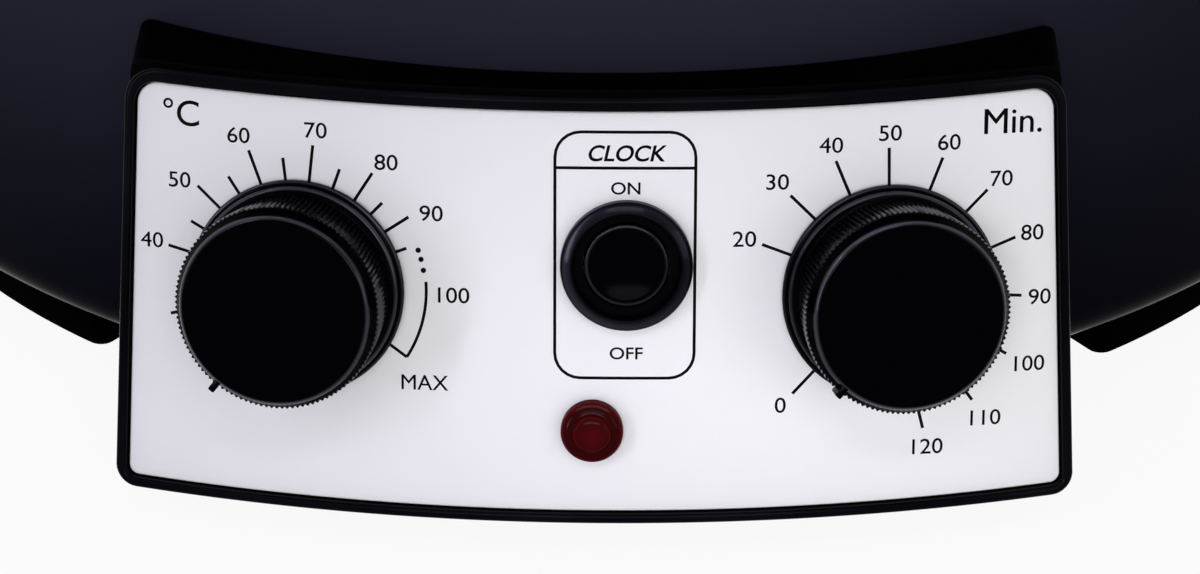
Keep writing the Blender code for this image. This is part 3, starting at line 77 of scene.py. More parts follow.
axis = Matrix.Translation((0, (pot_low.y + pot_high.y) / 2, 0))


def put(name, points, faces):
    """A new object at the origin that holds these points and faces."""
    mesh = bpy.data.meshes.new(name)
    mesh.from_pydata(points, [], faces)
    mesh.update()
    piece = bpy.data.objects.new(name, mesh)
    bpy.context.scene.collection.objects.link(piece)
    return piece


def settle(piece):
    """Turns a piece's live modifiers into plain mesh."""
    done = bpy.data.meshes.new_from_object(piece.evaluated_get(bpy.context.evaluated_depsgraph_get()))
    piece.modifiers.clear()
    piece.data = done
    return piece


def arc(across, up, radius, start, end, steps=8):
    """Points along an arc, both ends included, its angles in degrees."""
    turns = [math.radians(start + (end - start) * i / steps) for i in range(steps + 1)]
    return [(across + radius * math.cos(turn), up + radius * math.sin(turn)) for turn in turns]


def turned(name, outline, place=axis, steps=192):
    """Spins (radius, height) points, listed down the outer side, into a closed shape."""
    points = []
    rings = []
    for radius, height in outline:
        count = steps if radius > 0 else 1
        rings.append([len(points) + i % count for i in range(steps)])
        for i in range(count):
            turn = 2 * math.pi * i / steps
            points.append(place @ Vector((radius * math.cos(turn), radius * math.sin(turn), height)))
    if outline[0][0] > 0:
        rings.append(rings[0])
    faces = []
    for above, below in zip(rings, rings[1:]):
        for i in range(steps):
            j = (i + 1) % steps
            corners = dict.fromkeys((above[i], below[i], below[j], above[j]))
            if len(corners) > 2:
                faces.append(tuple(corners))
    return put(name, points, faces)


def slab(name, outline, low, high, place=axis):
    """An outline of (x, y) points, anticlockwise, run from low to high."""
    count = len(outline)
    points = [place @ Vector((x, y, z)) for z in (low, high) for x, y in outline]
    faces = [tuple(range(count - 1, -1, -1)), tuple(range(count, 2 * count))]
    faces += [(i, (i + 1) % count, count + (i + 1) % count, count + i) for i in range(count)]
    return put(name, points, faces)


def rounded_box(x0, x1, y0, y1, corner, steps=6):
    outline = arc(x1 - corner, y0 + corner, corner, -90, 0, steps)
    outline += arc(x1 - corner, y1 - corner, corner, 0, 90, steps)
    outline += arc(x0 + corner, y1 - corner, corner, 90, 180, steps)
    return outline + arc(x0 + corner, y0 + corner, corner, 180, 270, steps)


def cut(piece, cutter):
    """Takes a cutter out of a piece and removes it."""
    joint = piece.modifiers.new("cut", "BOOLEAN")
    joint.operation = "DIFFERENCE"
    joint.solver = "EXACT"
    joint.object = cutter
    settle(piece)
    bpy.data.objects.remove(cutter)


def drill(piece, place, radius, low, high, steps=48):
    """Bores a round hole along a place's Z."""
    cut(piece, turned("drill", [(0.0, high), (radius, high), (radius, low), (0.0, low)], place, steps))


def smooth(piece, angle=32):
    """Smooth shading that breaks at sharp edges and keeps flat faces flat."""
    piece.data.shade_smooth()
    piece.data.set_sharp_from_angle(angle=math.radians(angle))
    weigh = piece.modifiers.new("weigh", "WEIGHTED_NORMAL")
    weigh.keep_sharp = True
    settle(piece)


def hand_over(piece, material, body, stands_for, angle=32):
    """Gives a piece its one material and, by an angle, its smooth shading. It then rides on its body in
    place of the node that it stands for, which is hidden."""
    piece.data.materials.clear()
    piece.data.materials.append(material)
    if angle:
        smooth(piece, angle)
    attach(piece, body)
    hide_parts(stands_for)


def new_tree(name, family, inputs, outputs):
    """An empty node tree with these named sockets: the tree, the inputs it is given and its outputs."""
    tree = bpy.data.node_groups.new(name, family + "NodeTree")
    for side, sockets in (("INPUT", inputs), ("OUTPUT", outputs)):
        for socket, kind in sockets.items():
            tree.interface.new_socket(socket, in_out=side, socket_type="NodeSocket" + kind)
    return tree, tree.nodes.new("NodeGroupInput").outputs, tree.nodes.new("NodeGroupOutput").inputs


def node(tree, kind, inputs, out=0, **settings):
    """Adds a node and gives the socket that it puts out. Each input is a value, or the socket that feeds
    it."""
    made = tree.nodes.new(kind)
    for setting, value in settings.items():
        setattr(made, setting, value)
    for socket, value in inputs.items():
        if isinstance(value, bpy.types.NodeSocket):
            tree.links.new(value, made.inputs[socket])
        else:
            made.inputs[socket].default_value = value
    return made.outputs[out]


def reckon(tree, operation, *values, clamp=False):
    return node(tree, "ShaderNodeMath", dict(enumerate(values)), operation=operation, use_clamp=clamp)


def spread(tree, value, low=0.0, high=1.0, start=0.0, end=1.0, easing="LINEAR"):
    """Carries a value between start and end over to low and high."""
    return node(tree, "ShaderNodeMapRange", {
        "Value": value, "From Min": start, "From Max": end, "To Min": low, "To Max": high},
        interpolation_type=easing)


def blend_colour(tree, factor, first, second):
    return node(tree, "ShaderNodeMix", {0: factor, 6: first, 7: second}, 2, data_type="RGBA")


def on_surface(tree):
    return node(tree, "ShaderNodeTexCoord", {}, "Object")


def noise(tree, where, scale, detail, rough=0.5):
    return node(tree, "ShaderNodeTexNoise", {
        "Vector": where, "Scale": scale, "Detail": detail, "Roughness": rough}, "Fac")


def put_out(tree, made, **values):
    for socket, value in values.items():
        tree.links.new(value, made[socket])


def finish_with(name, group, settings, bump, **constants):
    """A material whose colour, roughness and relief come from a group, with its constants on the shader. One
    that has a gleam on its marked edges takes its specular level from the group too."""
    material = bpy.data.materials.new(name)
    material.use_nodes = True
    tree = material.node_tree
    shader = tree.nodes["Principled BSDF"].inputs
    for socket, value in constants.items():
        shader[socket.replace("_", " ")].default_value = value
    source = tree.nodes.new("ShaderNodeGroup")
    source.node_tree = group
    for socket, value in settings.items():
        source.inputs[socket].default_value = (*value, 1.0) if isinstance(value, tuple) else value
    tree.links.new(source.outputs["Color"], shader["Base Color"])
    tree.links.new(source.outputs["Roughness"], shader["Roughness"])
    if "Gleam" in settings:
        tree.links.new(source.outputs["Level"], shader["Specular IOR Level"])
    relief = {"Strength": bump[0], "Distance": bump[1], "Height": source.outputs["Height"]}
    tree.links.new(node(tree, "ShaderNodeBump", relief), shader["Normal"])
    return material


# The glaze is thick glass: a slow ripple from the firing, fine pits, and a tone that varies at random. Its
# bluer, paler tone high on the wall and its darkening towards the foot and the right are painted shade.
SHEEN = (0.85, 0.83, 1.0, 1.0)
SURFACE = {"Color": "Color", "Roughness": "Float", "Height": "Float"}
glaze, given, made = new_tree("glazed_ripple", "Shader", {
    "Thick": "Color", "Thin": "Color", "Roughness": "Float", "Scale": "Float", "Foot": "Float",
    "Head": "Float", "Even": "Float", "Pooled": "Float"}, SURFACE)
where = on_surface(glaze)
slow = noise(glaze, where, given["Scale"], 2.0, 0.45)
wide = noise(glaze, where, 9.0, 3.0)
pits = node(glaze, "ShaderNodeTexVoronoi", {"Vector": where, "Scale": 900.0}, "Distance")
# Painted shade: the glaze grows lighter up from the foot and darker towards the right, and the two shares
# multiply.
run = spread(glaze, node(glaze, "ShaderNodeSeparateXYZ", {0: where}, "Z"),
             start=given["Foot"], end=given["Head"], easing="SMOOTHSTEP")
lit_across = spread(glaze, node(glaze, "ShaderNodeSeparateXYZ", {0: where}, "X"), 1.0, 0.45,
              given["Even"], given["Pooled"], "SMOOTHSTEP")
drained = reckon(glaze, "MULTIPLY", run, lit_across)
tone = reckon(glaze, "MULTIPLY", drained, spread(glaze, wide, 0.75, 1.15), clamp=True)
put_out(glaze, made, Color=blend_colour(glaze, tone, given["Thick"], given["Thin"]),
        Roughness=reckon(glaze, "MULTIPLY", spread(glaze, wide, 0.85, 1.2), given["Roughness"]),
        Height=reckon(glaze, "ADD", slow, reckon(glaze, "MULTIPLY", pits, 0.05)))
# The dark first colour is the glaze's shaded tone and the pale one its lit tone; the painted shade moves
# between them.
enamel = finish_with("pot_enamel", glaze, {
    "Thick": (0.0012, 0.0012, 0.0030), "Thin": (0.0215, 0.0213, 0.0355), "Roughness": 0.15, "Scale": 75.0,
    "Foot": 0.0, "Head": 0.14, "Even": 0.03, "Pooled": 0.165},
    (0.12, 0.0004), Specular_IOR_Level=0.006, Specular_Tint=SHEEN)

inner_fillet = arc(POT_BORE - FLOOR_FILLET, COOKING_FLOOR + FLOOR_FILLET, FLOOR_FILLET, -90, 0)
bead = arc(POT_BORE + RIM_BEAD, RIM_HEIGHT - RIM_BEAD, RIM_BEAD, 180, -81, 18)
outer_edge = arc(POT_RADIUS - SKIRT_EDGE, SKIRT_LIFT + SKIRT_EDGE, SKIRT_EDGE, 0, -90, 12)
inner_edge = arc(POT_RADIUS - SKIRT_EDGE, SKIRT_LIFT + SKIRT_EDGE, SKIRT_EDGE - POT_SHEET, -90, 0, 8)
pot = turned("enamelled_pot", [(0.0, COOKING_FLOOR)] + inner_fillet + bead
             + [(POT_RADIUS, RIM_HEIGHT - 2 * RIM_BEAD)] + outer_edge
             + [(FLANGE_RADIUS, SKIRT_LIFT), (FLANGE_RADIUS, SKIRT_LIFT + POT_SHEET)] + inner_edge
             + [(POT_BORE, COOKING_FLOOR - POT_SHEET), (0.0, COOKING_FLOOR - POT_SHEET)])
upright = Matrix.Rotation(math.pi / 2, 4, "X")
cut(pot, slab("port", rounded_box(-PORT_HALF_WIDTH, PORT_HALF_WIDTH, PORT_LOW, PORT_HIGH, PORT_CORNER),
              FLANGE_RADIUS - CUT_PAST, POT_RADIUS + CUT_PAST, axis @ upright))

FOOT_TURN = math.radians(45.5)
FOOT_SCREW_RADIUS = 0.158
foot_turns = {"front_left": -FOOT_TURN, "front_right": FOOT_TURN,
              "back_left": FOOT_TURN - math.pi, "back_right": math.pi - FOOT_TURN}
foot_screw_places = {
    name: axis @ Matrix.Rotation(turn, 4, "Z") @ Matrix.Translation((0, -FOOT_SCREW_RADIUS, 0))
    for name, turn in foot_turns.items()}
for screw_place in foot_screw_places.values():
    drill(pot, screw_place, SCREW_BORE, 0.010, SKIRT_LIFT + 0.003, 24)


def wall_place(turn, height):
    """A place on the pot's wall, turned from the front, with its Z straight out of the wall."""
    return axis @ Matrix.Rotation(turn, 4, "Z") @ Matrix.Translation((0, -POT_RADIUS, height)) @ upright


HOUSING_SCREW_ACROSS = 0.0825
HOUSING_SCREW_HEIGHT = 0.046
HOUSING_SCREW_BORE = 0.0017
GLAND_HEIGHT = 0.036
GLAND_BORE = 0.0083
screw_turn = math.asin(HOUSING_SCREW_ACROSS / POT_RADIUS)
for turn in (-screw_turn, screw_turn):
    drill(pot, wall_place(turn, HOUSING_SCREW_HEIGHT), HOUSING_SCREW_BORE, -CUT_PAST / 2, CUT_PAST / 2, 24)
gland_place = wall_place(math.pi, GLAND_HEIGHT)
drill(pot, gland_place, GLAND_BORE, -CUT_PAST, CUT_PAST)
hand_over(pot, enamel, "cooker", "pot")


# Heater and the works under the floor
# A tube heater under an aluminium spreader, a tin shield on a centre stud, a copper bulb with its
# capillary, a cut-out, a terminal block and woven-sleeved wires. All of it shows only from below.
drawn, given, made = new_tree("drawn_metal", "Shader", {
    "Color": "Color", "Dull": "Color", "Roughness": "Float", "Scale": "Float"}, SURFACE)
where = on_surface(drawn)
along = node(drawn, "ShaderNodeMapping", {"Vector": where, "Scale": (1.0, 1.0, 14.0)})
lines = noise(drawn, along, given["Scale"], 4.0, 0.6)
cloud = noise(drawn, where, 60.0, 3.0)
put_out(drawn, made, Color=blend_colour(drawn, cloud, given["Color"], given["Dull"]),
        Roughness=reckon(drawn, "MULTIPLY", spread(drawn, lines, 0.75, 1.35), given["Roughness"]),
        Height=lines)


def metal(name, colour, dull, rough, scale, bump):
    return finish_with(name, drawn, {"Color": colour, "Dull": dull, "Roughness": rough, "Scale": scale},
                       bump, Metallic=1.0)


steel = metal("zinc_plated_steel", (0.60, 0.60, 0.61), (0.46, 0.46, 0.48), 0.32, 220.0, (0.15, 0.0001))
aluminium = metal("cast_aluminium", (0.74, 0.74, 0.75), (0.60, 0.60, 0.62), 0.42, 90.0, (0.25, 0.0002))
copper = metal("bright_copper", (0.72, 0.36, 0.22), (0.52, 0.25, 0.15), 0.30, 240.0, (0.12, 0.0001))
scaled = metal("heater_sheath", (0.30, 0.28, 0.26), (0.16, 0.14, 0.13), 0.45, 160.0, (0.2, 0.0001))

# Moulded skin: fine grain, cloudy tone, and a painted highlight in a paler colour on a piece's edges, where
# its specular level also rises. Both are read from a mark that each piece keeps, made uneven by the cloud.
skin, given, made = new_tree("moulded_skin", "Shader", {
    "Color": "Color", "Worn": "Color", "Edge": "Color", "Roughness": "Float", "Scale": "Float",
    "Matt": "Float", "Gleam": "Float"}, {**SURFACE, "Level": "Float"})
where = on_surface(skin)
cloud = noise(skin, where, 35.0, 2.0)
highlight_and_gleam_mask = node(skin, "ShaderNodeAttribute", {}, "Fac", attribute_type="GEOMETRY", attribute_name="highlight_and_gleam")
# The painted highlight's strength at each point, which also sets how far the gleam rises there.
worn = reckon(skin, "MULTIPLY", highlight_and_gleam_mask, spread(skin, cloud, -0.6, 2.0), clamp=True)
tone = blend_colour(skin, cloud, given["Color"], given["Worn"])
put_out(skin, made, Color=blend_colour(skin, worn, tone, given["Edge"]),
        Roughness=reckon(skin, "MULTIPLY", spread(skin, cloud, 0.85, 1.15), given["Roughness"]),
        Height=noise(skin, where, given["Scale"], 3.0, 0.55),
        Level=spread(skin, worn, given["Matt"], given["Gleam"]))


def moulded(name, colour, worn, rough, scale, bump, edge=None, shine=None, **constants):
    """A moulded finish. One given an edge colour shows it as a painted highlight where its pieces are marked,
    and has its specular levels, matt and at the marks.
    """
    settings = {"Color": colour, "Worn": worn, "Roughness": rough, "Scale": scale}
    if edge:
        settings.update(Edge=edge, Matt=shine[0], Gleam=shine[1])
    return finish_with(name, skin, settings, bump, **constants)


cream = moulded("heatproof_moulding", (0.74, 0.71, 0.63), (0.68, 0.64, 0.56), 0.5, 1500.0, (0.2, 0.0001))
sleeve = moulded("woven_sleeve", (0.40, 0.27, 0.17), (0.28, 0.18, 0.11), 0.8, 2600.0, (0.8, 0.0003))


def mark(piece, shares):
    """Keeps how strongly each of a piece's points shows its skin's painted highlight and gleam, for the skin
    to read.
    """
    piece.data.attributes.new("highlight_and_gleam", "FLOAT", "POINT").data.foreach_set("value", shares)


def highlight_and_gleam(piece, place, *rings, crest=None):
    """Marks where a turned piece shows its painted highlight and gleam: rings of (radius, height, reach,
    strength), and a knurl's crest as (low, high, radius at low, radius at high, depth, strength)."""
    back = place.inverted()
    shares = []
    for vertex in piece.data.vertices:
        x, y, height = back @ vertex.co
        radius = math.hypot(x, y)
        share = max(strength * max(0.0, 1 - math.hypot(radius - ring, height - level) / reach)
                    for ring, level, reach, strength in rings)
        if crest and crest[0] < height < crest[1]:
            climb = (height - crest[0]) / (crest[1] - crest[0])
            proud = radius - (crest[2] + (crest[3] - crest[2]) * climb) + crest[4]
            share = max(share, crest[5] * min(1.0, max(0.0, proud / crest[4])))
        shares.append(share)
    mark(piece, shares)


def dress(material, *names):
    """Gives carried-over nodes their finish."""
    for name in names:
        for holder in nodes[name].material_slots:
            holder.material = material


dress(steel, "heat_shield", "centre_stud", "shield_spacer", "shield_nut", "bulb_clip")
dress(steel, "base_plate", "base_nut")
dress(aluminium, "heat_spreader")
dress(scaled, "heating_element")
dress(copper, "sensor_bulb", "capillary_tube")
dress(cream, "thermal_cutout", "terminal_block")
dress(sleeve, "wire_thermostat_to_heater", "wire_block_to_timer", "wire_block_to_heater")


# Feet
# Four moulded rubber blocks under the flange, each a curved wedge with round corners that narrows to its
# tread, held by a screw sunk in a pocket.
FOOT_OUTER = POT_RADIUS - SKIRT_EDGE
FOOT_LENGTH = 0.032
FOOT_INNER = FOOT_OUTER - FOOT_LENGTH
FOOT_SPAN = 17.0
FOOT_TOP = SKIRT_LIFT - GAP
FOOT_TREAD = 0.88
FOOT_CORNER = 0.0035
FOOT_EDGE = 0.0020
FOOT_POCKET = 0.0048
POCKET_BORE = 0.0046
rubber = moulded("foot_rubber", (0.0002, 0.0002, 0.0003), (0.0005, 0.0005, 0.0006), 0.8, 700.0, (0.3, 0.0002),
                 Specular_IOR_Level=0.002)


def straight(start, end, steps=24):
    return [(start[0] + (end[0] - start[0]) * i / steps, start[1] + (end[1] - start[1]) * i / steps)
            for i in range(steps + 1)]


def closely(outline, step=0.002):
    """An outline with points added along its long sides, so that it can follow a curve."""
    path = []
    for start, end in zip(outline, outline[1:] + outline[:1]):
        path += straight(start, end, max(1, round(math.dist(start, end) / step)))[:-1]
    return path


def foot_ring(share, inset, height):
    """One level of a foot, drawn in towards its middle by a share and an inset."""
    half = math.radians(FOOT_SPAN / 2)
    across = FOOT_OUTER * math.sin(half)
    deep = (FOOT_OUTER - FOOT_INNER) / 2
    middle = -(FOOT_OUTER + FOOT_INNER) / 2
    side = (1 + share) / 2 - inset / across
    depth = share - inset / deep
    points = []
    wedge = closely(rounded_box(-across, across, FOOT_INNER, FOOT_OUTER, FOOT_CORNER))
    for along, radius in reversed(wedge):
        turn = half * along / across
        y = middle + (-radius * math.cos(turn) - middle) * depth
        points.append(Vector((radius * math.sin(turn) * side, y, height)))
    return points


def skin_loops(loops, wrap=False):
    """The points, and the faces between them, of loops that run anticlockwise seen from the first."""
    count = len(loops[0])
    starts = [count * k for k in range(len(loops))]
    pairs = list(zip(starts, starts[1:])) + [(starts[-1], 0)] * wrap
    faces = [(a + i, b + i, b + (i + 1) % count, a + (i + 1) % count)
             for a, b in pairs for i in range(count)]
    return [point for loop in loops for point in loop], faces


for name, turn in foot_turns.items():
    place = axis @ Matrix.Rotation(turn, 4, "Z")
    rounding = ((FOOT_EDGE, 0.0), (FOOT_EDGE * 0.3, FOOT_EDGE * 0.3), (0.0, FOOT_EDGE))
    levels = [(1.0, inset, FOOT_TOP - drop) for inset, drop in rounding]
    levels += [(FOOT_TREAD, inset, rise) for inset, rise in reversed(rounding)]
    loops = [[place @ point for point in foot_ring(*level)] for level in levels]
    points, faces = skin_loops(loops)
    count = len(loops[0])
    faces += [tuple(range(count)), tuple(range(len(points) - 1, len(points) - count - 1, -1))]
    foot = put("rubber_foot_" + name, points, faces)
    drill(foot, foot_screw_places[name], SCREW_BORE, -CUT_PAST, 2 * CUT_PAST, 24)
    drill(foot, foot_screw_places[name], POCKET_BORE, -CUT_PAST, FOOT_POCKET, 32)
    hand_over(foot, rubber, "cooker", "foot_" + name, 40)
    dress(steel, "foot_screw_" + name)


# Cable gland
# A black nylon bush in the skirt's back wall, with a rounded nose, held from inside by a hex nut.
# The third colour is the painted highlight on marked edges; the pair after it are the matt and gleaming
# specular levels.
gloss = moulded("gloss_black_moulding", (0.0005, 0.0005, 0.0009), (0.0010, 0.0010, 0.0018), 0.13, 420.0,
                (0.04, 0.0001), (0.0170, 0.0160, 0.0265), (0.018, 0.25), Specular_Tint=SHEEN)
gland = turned("cable_bush", [
    (0.0040, 0.0068), (0.0045, 0.0073), (0.0077, 0.0073), (0.0084, 0.0069), (0.0104, 0.0046),
    (0.0110, 0.0038), (0.0110, 0.0008), (0.0105, GAP), (0.0080, GAP), (0.0080, -0.0120), (0.0040, -0.0120)],
    gland_place, 64)
hand_over(gland, gloss, "cooker", "cable_gland")
dress(steel, "gland_nut")


# Control housing
# One matt black moulding, open at the back where it meets the skirt. Its front wall is a cone that leans
# back and carries the plate, and its rims are lightly rounded.
FACE_RADIUS = 0.3373
FACE_SETBACK = 0.12795
TILT = math.radians(14.8)
PLATE_BOTTOM = 0.0111
PLATE_HEIGHT = 0.0772
PLATE_BOTTOM_WIDTH = 0.1801
PLATE_TOP_WIDTH = 0.1738
PLATE_SHEET = 0.0008
BEZEL_MARGIN = 0.0022
BEZEL_TOP_MARGIN = 0.0029
HOUSING_TOP = 0.0893
HOUSING_WALL = 0.0020
HOUSING_CORNER = 0.0030
WALL_FACE = -PLATE_SHEET - GAP
LOOP_ACROSS = 120
LOOP_UP = 24
LOOP_CORNER = 8


def face_point(across, up, out):
    """A place on the face: across from its middle, up its slope, and out from the plate's front."""
    turn = across / (FACE_RADIUS - up * math.sin(TILT))
    radius = FACE_RADIUS - up * math.sin(TILT) + out * math.cos(TILT)
    height = PLATE_BOTTOM + up * math.cos(TILT) + out * math.sin(TILT)
    return axis @ Vector((radius * math.sin(turn), FACE_SETBACK - radius * math.cos(turn), height))


def face_place(across, up):
    """A frame on the face, with X across, Y up the slope and Z straight out."""
    turn = across / (FACE_RADIUS - up * math.sin(TILT))
    right = Vector((math.cos(turn), math.sin(turn), 0.0))
    out = Vector((math.sin(turn) * math.cos(TILT), -math.cos(turn) * math.cos(TILT), math.sin(TILT)))
    lean = Matrix((right, out.cross(right), out)).transposed().to_4x4()
    return Matrix.Translation(face_point(across, up, 0.0)) @ lean


def half_width(up):
    return (PLATE_BOTTOM_WIDTH + (PLATE_TOP_WIDTH - PLATE_BOTTOM_WIDTH) * up / PLATE_HEIGHT) / 2


def rounded_loop(low, high, wide_low, wide_high, corner_low, corner_high):
    """A rounded trapezium's points, anticlockwise from the left end of its lower edge."""
    flat_low = wide_low - corner_low
    flat_high = wide_high - corner_high
    shares = [2 * i / LOOP_ACROSS - 1 for i in range(LOOP_ACROSS + 1)]
    climb = [i / LOOP_UP for i in range(1, LOOP_UP)]
    side_low = low + corner_low
    side_high = high - corner_high
    side = [(wide_low + (wide_high - wide_low) * s, side_low + (side_high - side_low) * s) for s in climb]
    loop = [(flat_low * s, low) for s in shares]
    loop += arc(flat_low, side_low, corner_low, -90, 0, LOOP_CORNER)[1:] + side
    loop += arc(flat_high, side_high, corner_high, 0, 90, LOOP_CORNER)[:-1]
    loop += [(-flat_high * s, high) for s in shares]
    loop += arc(-flat_high, side_high, corner_high, 90, 180, LOOP_CORNER)[1:]
    loop += [(-x, y) for x, y in reversed(side)]
    return loop + arc(-flat_low, side_low, corner_low, 180, 270, LOOP_CORNER)[:-1]


def strip_cap(start, back=False):
    """Closes a rounded loop with upright strips, so that it follows the face's curve."""
    top = LOOP_ACROSS + 2 * LOOP_CORNER + LOOP_UP
    faces = [(i, i + 1, top + LOOP_ACROSS - i - 1, top + LOOP_ACROSS - i) for i in range(LOOP_ACROSS)]
    faces += [tuple(range(LOOP_ACROSS, top + 1)), tuple(range(top + LOOP_ACROSS, 2 * top)) + (0,)]
    if back:
        faces = [tuple(reversed(face)) for face in faces]
    return [tuple(start + i for i in face) for face in faces]


def shell(name, loops, wrap=False):
    """Joins rounded loops from front to back into a closed skin, capped by strips unless it wraps."""
    points, faces = skin_loops(loops, wrap)
    if not wrap:
        faces += strip_cap(0) + strip_cap(len(points) - len(loops[0]), back=True)
    return put(name, points, faces)


def housing_loop(inset, out, back=None):
    """The housing's outline from the front, moved in by an inset, on the face or on the pot's wall."""
    low = PLATE_BOTTOM - BEZEL_MARGIN * math.cos(TILT) + WALL_FACE * math.sin(TILT) + inset
    high = HOUSING_TOP - inset
    edge = BEZEL_MARGIN - GAP
    wide_low = face_point(half_width(-BEZEL_MARGIN) + edge, -BEZEL_MARGIN, WALL_FACE).x - inset
    reach = PLATE_HEIGHT + BEZEL_TOP_MARGIN
    wide_high = face_point(half_width(reach) + edge, reach, WALL_FACE).x - inset
    corner = max(HOUSING_CORNER - inset, HOUSING_CORNER / 3)
    points = []
    for x, z in rounded_loop(low, high, wide_low, wide_high, corner, corner):
        if back is None:
            up = (z - PLATE_BOTTOM - out * math.sin(TILT)) / math.cos(TILT)
            radius = FACE_RADIUS - up * math.sin(TILT) + out * math.cos(TILT)
            y = FACE_SETBACK - math.sqrt(radius ** 2 - x ** 2)
        else:
            y = -math.sqrt((POT_RADIUS + back) ** 2 - x ** 2)
        points.append(axis @ Vector((x, y, z)))
    return points


matt = moulded("matt_black_moulding", (0.0003, 0.0003, 0.0004), (0.0007, 0.0007, 0.0009), 0.42, 1100.0,
               (0.35, 0.0001), Specular_IOR_Level=0.008)
housing = shell("control_housing_shell", [
    housing_loop(0.0004, WALL_FACE), housing_loop(0.0001, WALL_FACE - 0.0001),
    housing_loop(0.0, WALL_FACE - 0.0004), housing_loop(0.0, 0.0, back=GAP + 0.0005),
    housing_loop(0.0002, 0.0, back=GAP + 0.0001), housing_loop(0.0005, 0.0, back=GAP),
    housing_loop(HOUSING_WALL, 0.0, back=GAP), housing_loop(HOUSING_WALL, WALL_FACE - HOUSING_WALL)])
DIAL_ACROSS = 0.0557
DIAL_UP = 0.0412
DIAL_BORE = 0.0053
BUTTON_BORE = 0.0097
LAMP_BORE = 0.0048
thermostat_place = face_place(-DIAL_ACROSS, DIAL_UP)
timer_place = face_place(DIAL_ACROSS, DIAL_UP)
button_place = face_place(0.0062, 0.0482)
lamp_place = face_place(-0.0001, 0.0161)
panel_holes = ((thermostat_place, DIAL_BORE), (timer_place, DIAL_BORE), (button_place, BUTTON_BORE),
               (lamp_place, LAMP_BORE))
for hole_place, radius in panel_holes:
    drill(housing, hole_place, radius, -CUT_PAST, CUT_PAST)
hand_over(housing, matt, "cooker", "control_housing")
dress(steel, "housing_screw_left", "housing_screw_right")


# Fascia plate
# A thin steel sheet, painted pale grey and printed, that lies on the housing's front wall. Its cut edge
# is broken all round, and painted shade darkens it towards the corners, least so under the right-hand dial.
PLATE_BOTTOM_CORNER = 0.0018
PLATE_TOP_CORNER = 0.0045
PLATE_EDGE = 0.0002
LIGHT_ACROSS = 0.054
LIGHT_UP = 0.021


def sheet_loop(margin, top_margin, out):
    """The plate's outline moved out by the margins and laid on the face."""
    low = -margin
    high = PLATE_HEIGHT + top_margin
    loop = rounded_loop(low, high, half_width(low) + margin, half_width(high) + margin,
                        PLATE_BOTTOM_CORNER + margin, PLATE_TOP_CORNER + margin)
    return [face_point(x, y, out) for x, y in loop]


def reckon_vector(tree, operation, *values, out=0):
    return node(tree, "ShaderNodeVectorMath", dict(enumerate(values)), out, operation=operation)


plate = shell("fascia_sheet", [sheet_loop(-PLATE_EDGE, -PLATE_EDGE, 0.0), sheet_loop(0.0, 0.0, -PLATE_EDGE),
                               sheet_loop(0.0, 0.0, -PLATE_SHEET)])
for hole_place, radius in panel_holes:
    drill(plate, hole_place, radius, -CUT_PAST, CUT_PAST)
plate_shading, given, made = new_tree("paint_with_painted_shade", "Shader", {
    "Clean": "Color", "Baked": "Color", "Roughness": "Float", "Scale": "Float", "Middle": "Vector",
    "Reach": "Float"}, SURFACE)
where = on_surface(plate_shading)
cloud = noise(plate_shading, where, 30.0, 2.0)
away = reckon_vector(plate_shading, "SUBTRACT", where, given["Middle"])
shaped = reckon_vector(plate_shading, "MULTIPLY", away, (1.0, 0.0, 2.2))
far = reckon_vector(plate_shading, "LENGTH", shaped, out="Value")
# Painted shade: the share of the darker colour grows with distance from the lit middle.
shade_share = reckon(plate_shading, "DIVIDE", far, given["Reach"], clamp=True)
uneven = reckon(plate_shading, "MULTIPLY", shade_share, spread(plate_shading, cloud, 0.93, 1.07), clamp=True)
put_out(plate_shading, made, Color=blend_colour(plate_shading, uneven, given["Clean"], given["Baked"]),
        Roughness=reckon(plate_shading, "MULTIPLY", spread(plate_shading, cloud, 0.9, 1.1), given["Roughness"]),
        Height=noise(plate_shading, where, given["Scale"], 3.0, 0.55))
# The first colour is the lit paint and the second its painted shade.
paint = finish_with("plate_paint", plate_shading, {
    "Clean": (0.93, 0.92, 0.93), "Baked": (0.60, 0.595, 0.61), "Roughness": 0.34, "Scale": 1800.0,
    "Middle": face_point(LIGHT_ACROSS, LIGHT_UP, 0.0), "Reach": 0.185},
    (0.05, 0.00005), Specular_IOR_Level=0.4)
hand_over(plate, paint, "cooker", "fascia_plate")


# Printed scales
# One black screen print on the plate: two dial scales, the frame round the push button and a few plain
# marks. It is drawn upright on the unrolled sheet, then laid on the face.
SHEET_RADIUS = FACE_RADIUS / math.sin(TILT)
PRINT_PROUD = 0.00003
PRINT_SINK = 0.00006
TICK_WIDTH = 0.00060
TICK_ROOT = 0.0195
NUMERAL = 0.0031
NUMERAL_WIDE = 1.09
CAPITAL_SHARE = 0.729
LINE_WIDTH = 0.00058
DOT_RADIUS = 0.00052
DOT_REACH = 24.2
DOT_CLOCKS = (71.3, 75.6, 80.7)
SWEEP_REACH = 24.4
SWEEP_START = 86
SWEEP_TURN = 36.3
SWEEP_STEPS = 30
SWEEP_END_CLOCK = 121.3
PANEL_CAPITAL = 0.0031
SWITCH_CAPITAL = 0.0024
UNIT_CAPITAL = 0.0051
WELD = 0.000002
print_parts = []


def sheet_spot(turn, up):
    """A place on the unrolled sheet, from its turn round the face in degrees and its height up the slope."""
    lean = math.radians(turn) * math.sin(TILT)
    return ((SHEET_RADIUS - up) * math.sin(lean), SHEET_RADIUS - (SHEET_RADIUS - up) * math.cos(lean))


def dial_spot(centre, reach, clock):
    """A place at a reach in millimetres and a clockwise turn in degrees from the top of a dial."""
    turn = math.radians(clock)
    return (centre[0] + reach / 1000 * math.sin(turn), centre[1] + reach / 1000 * math.cos(turn))


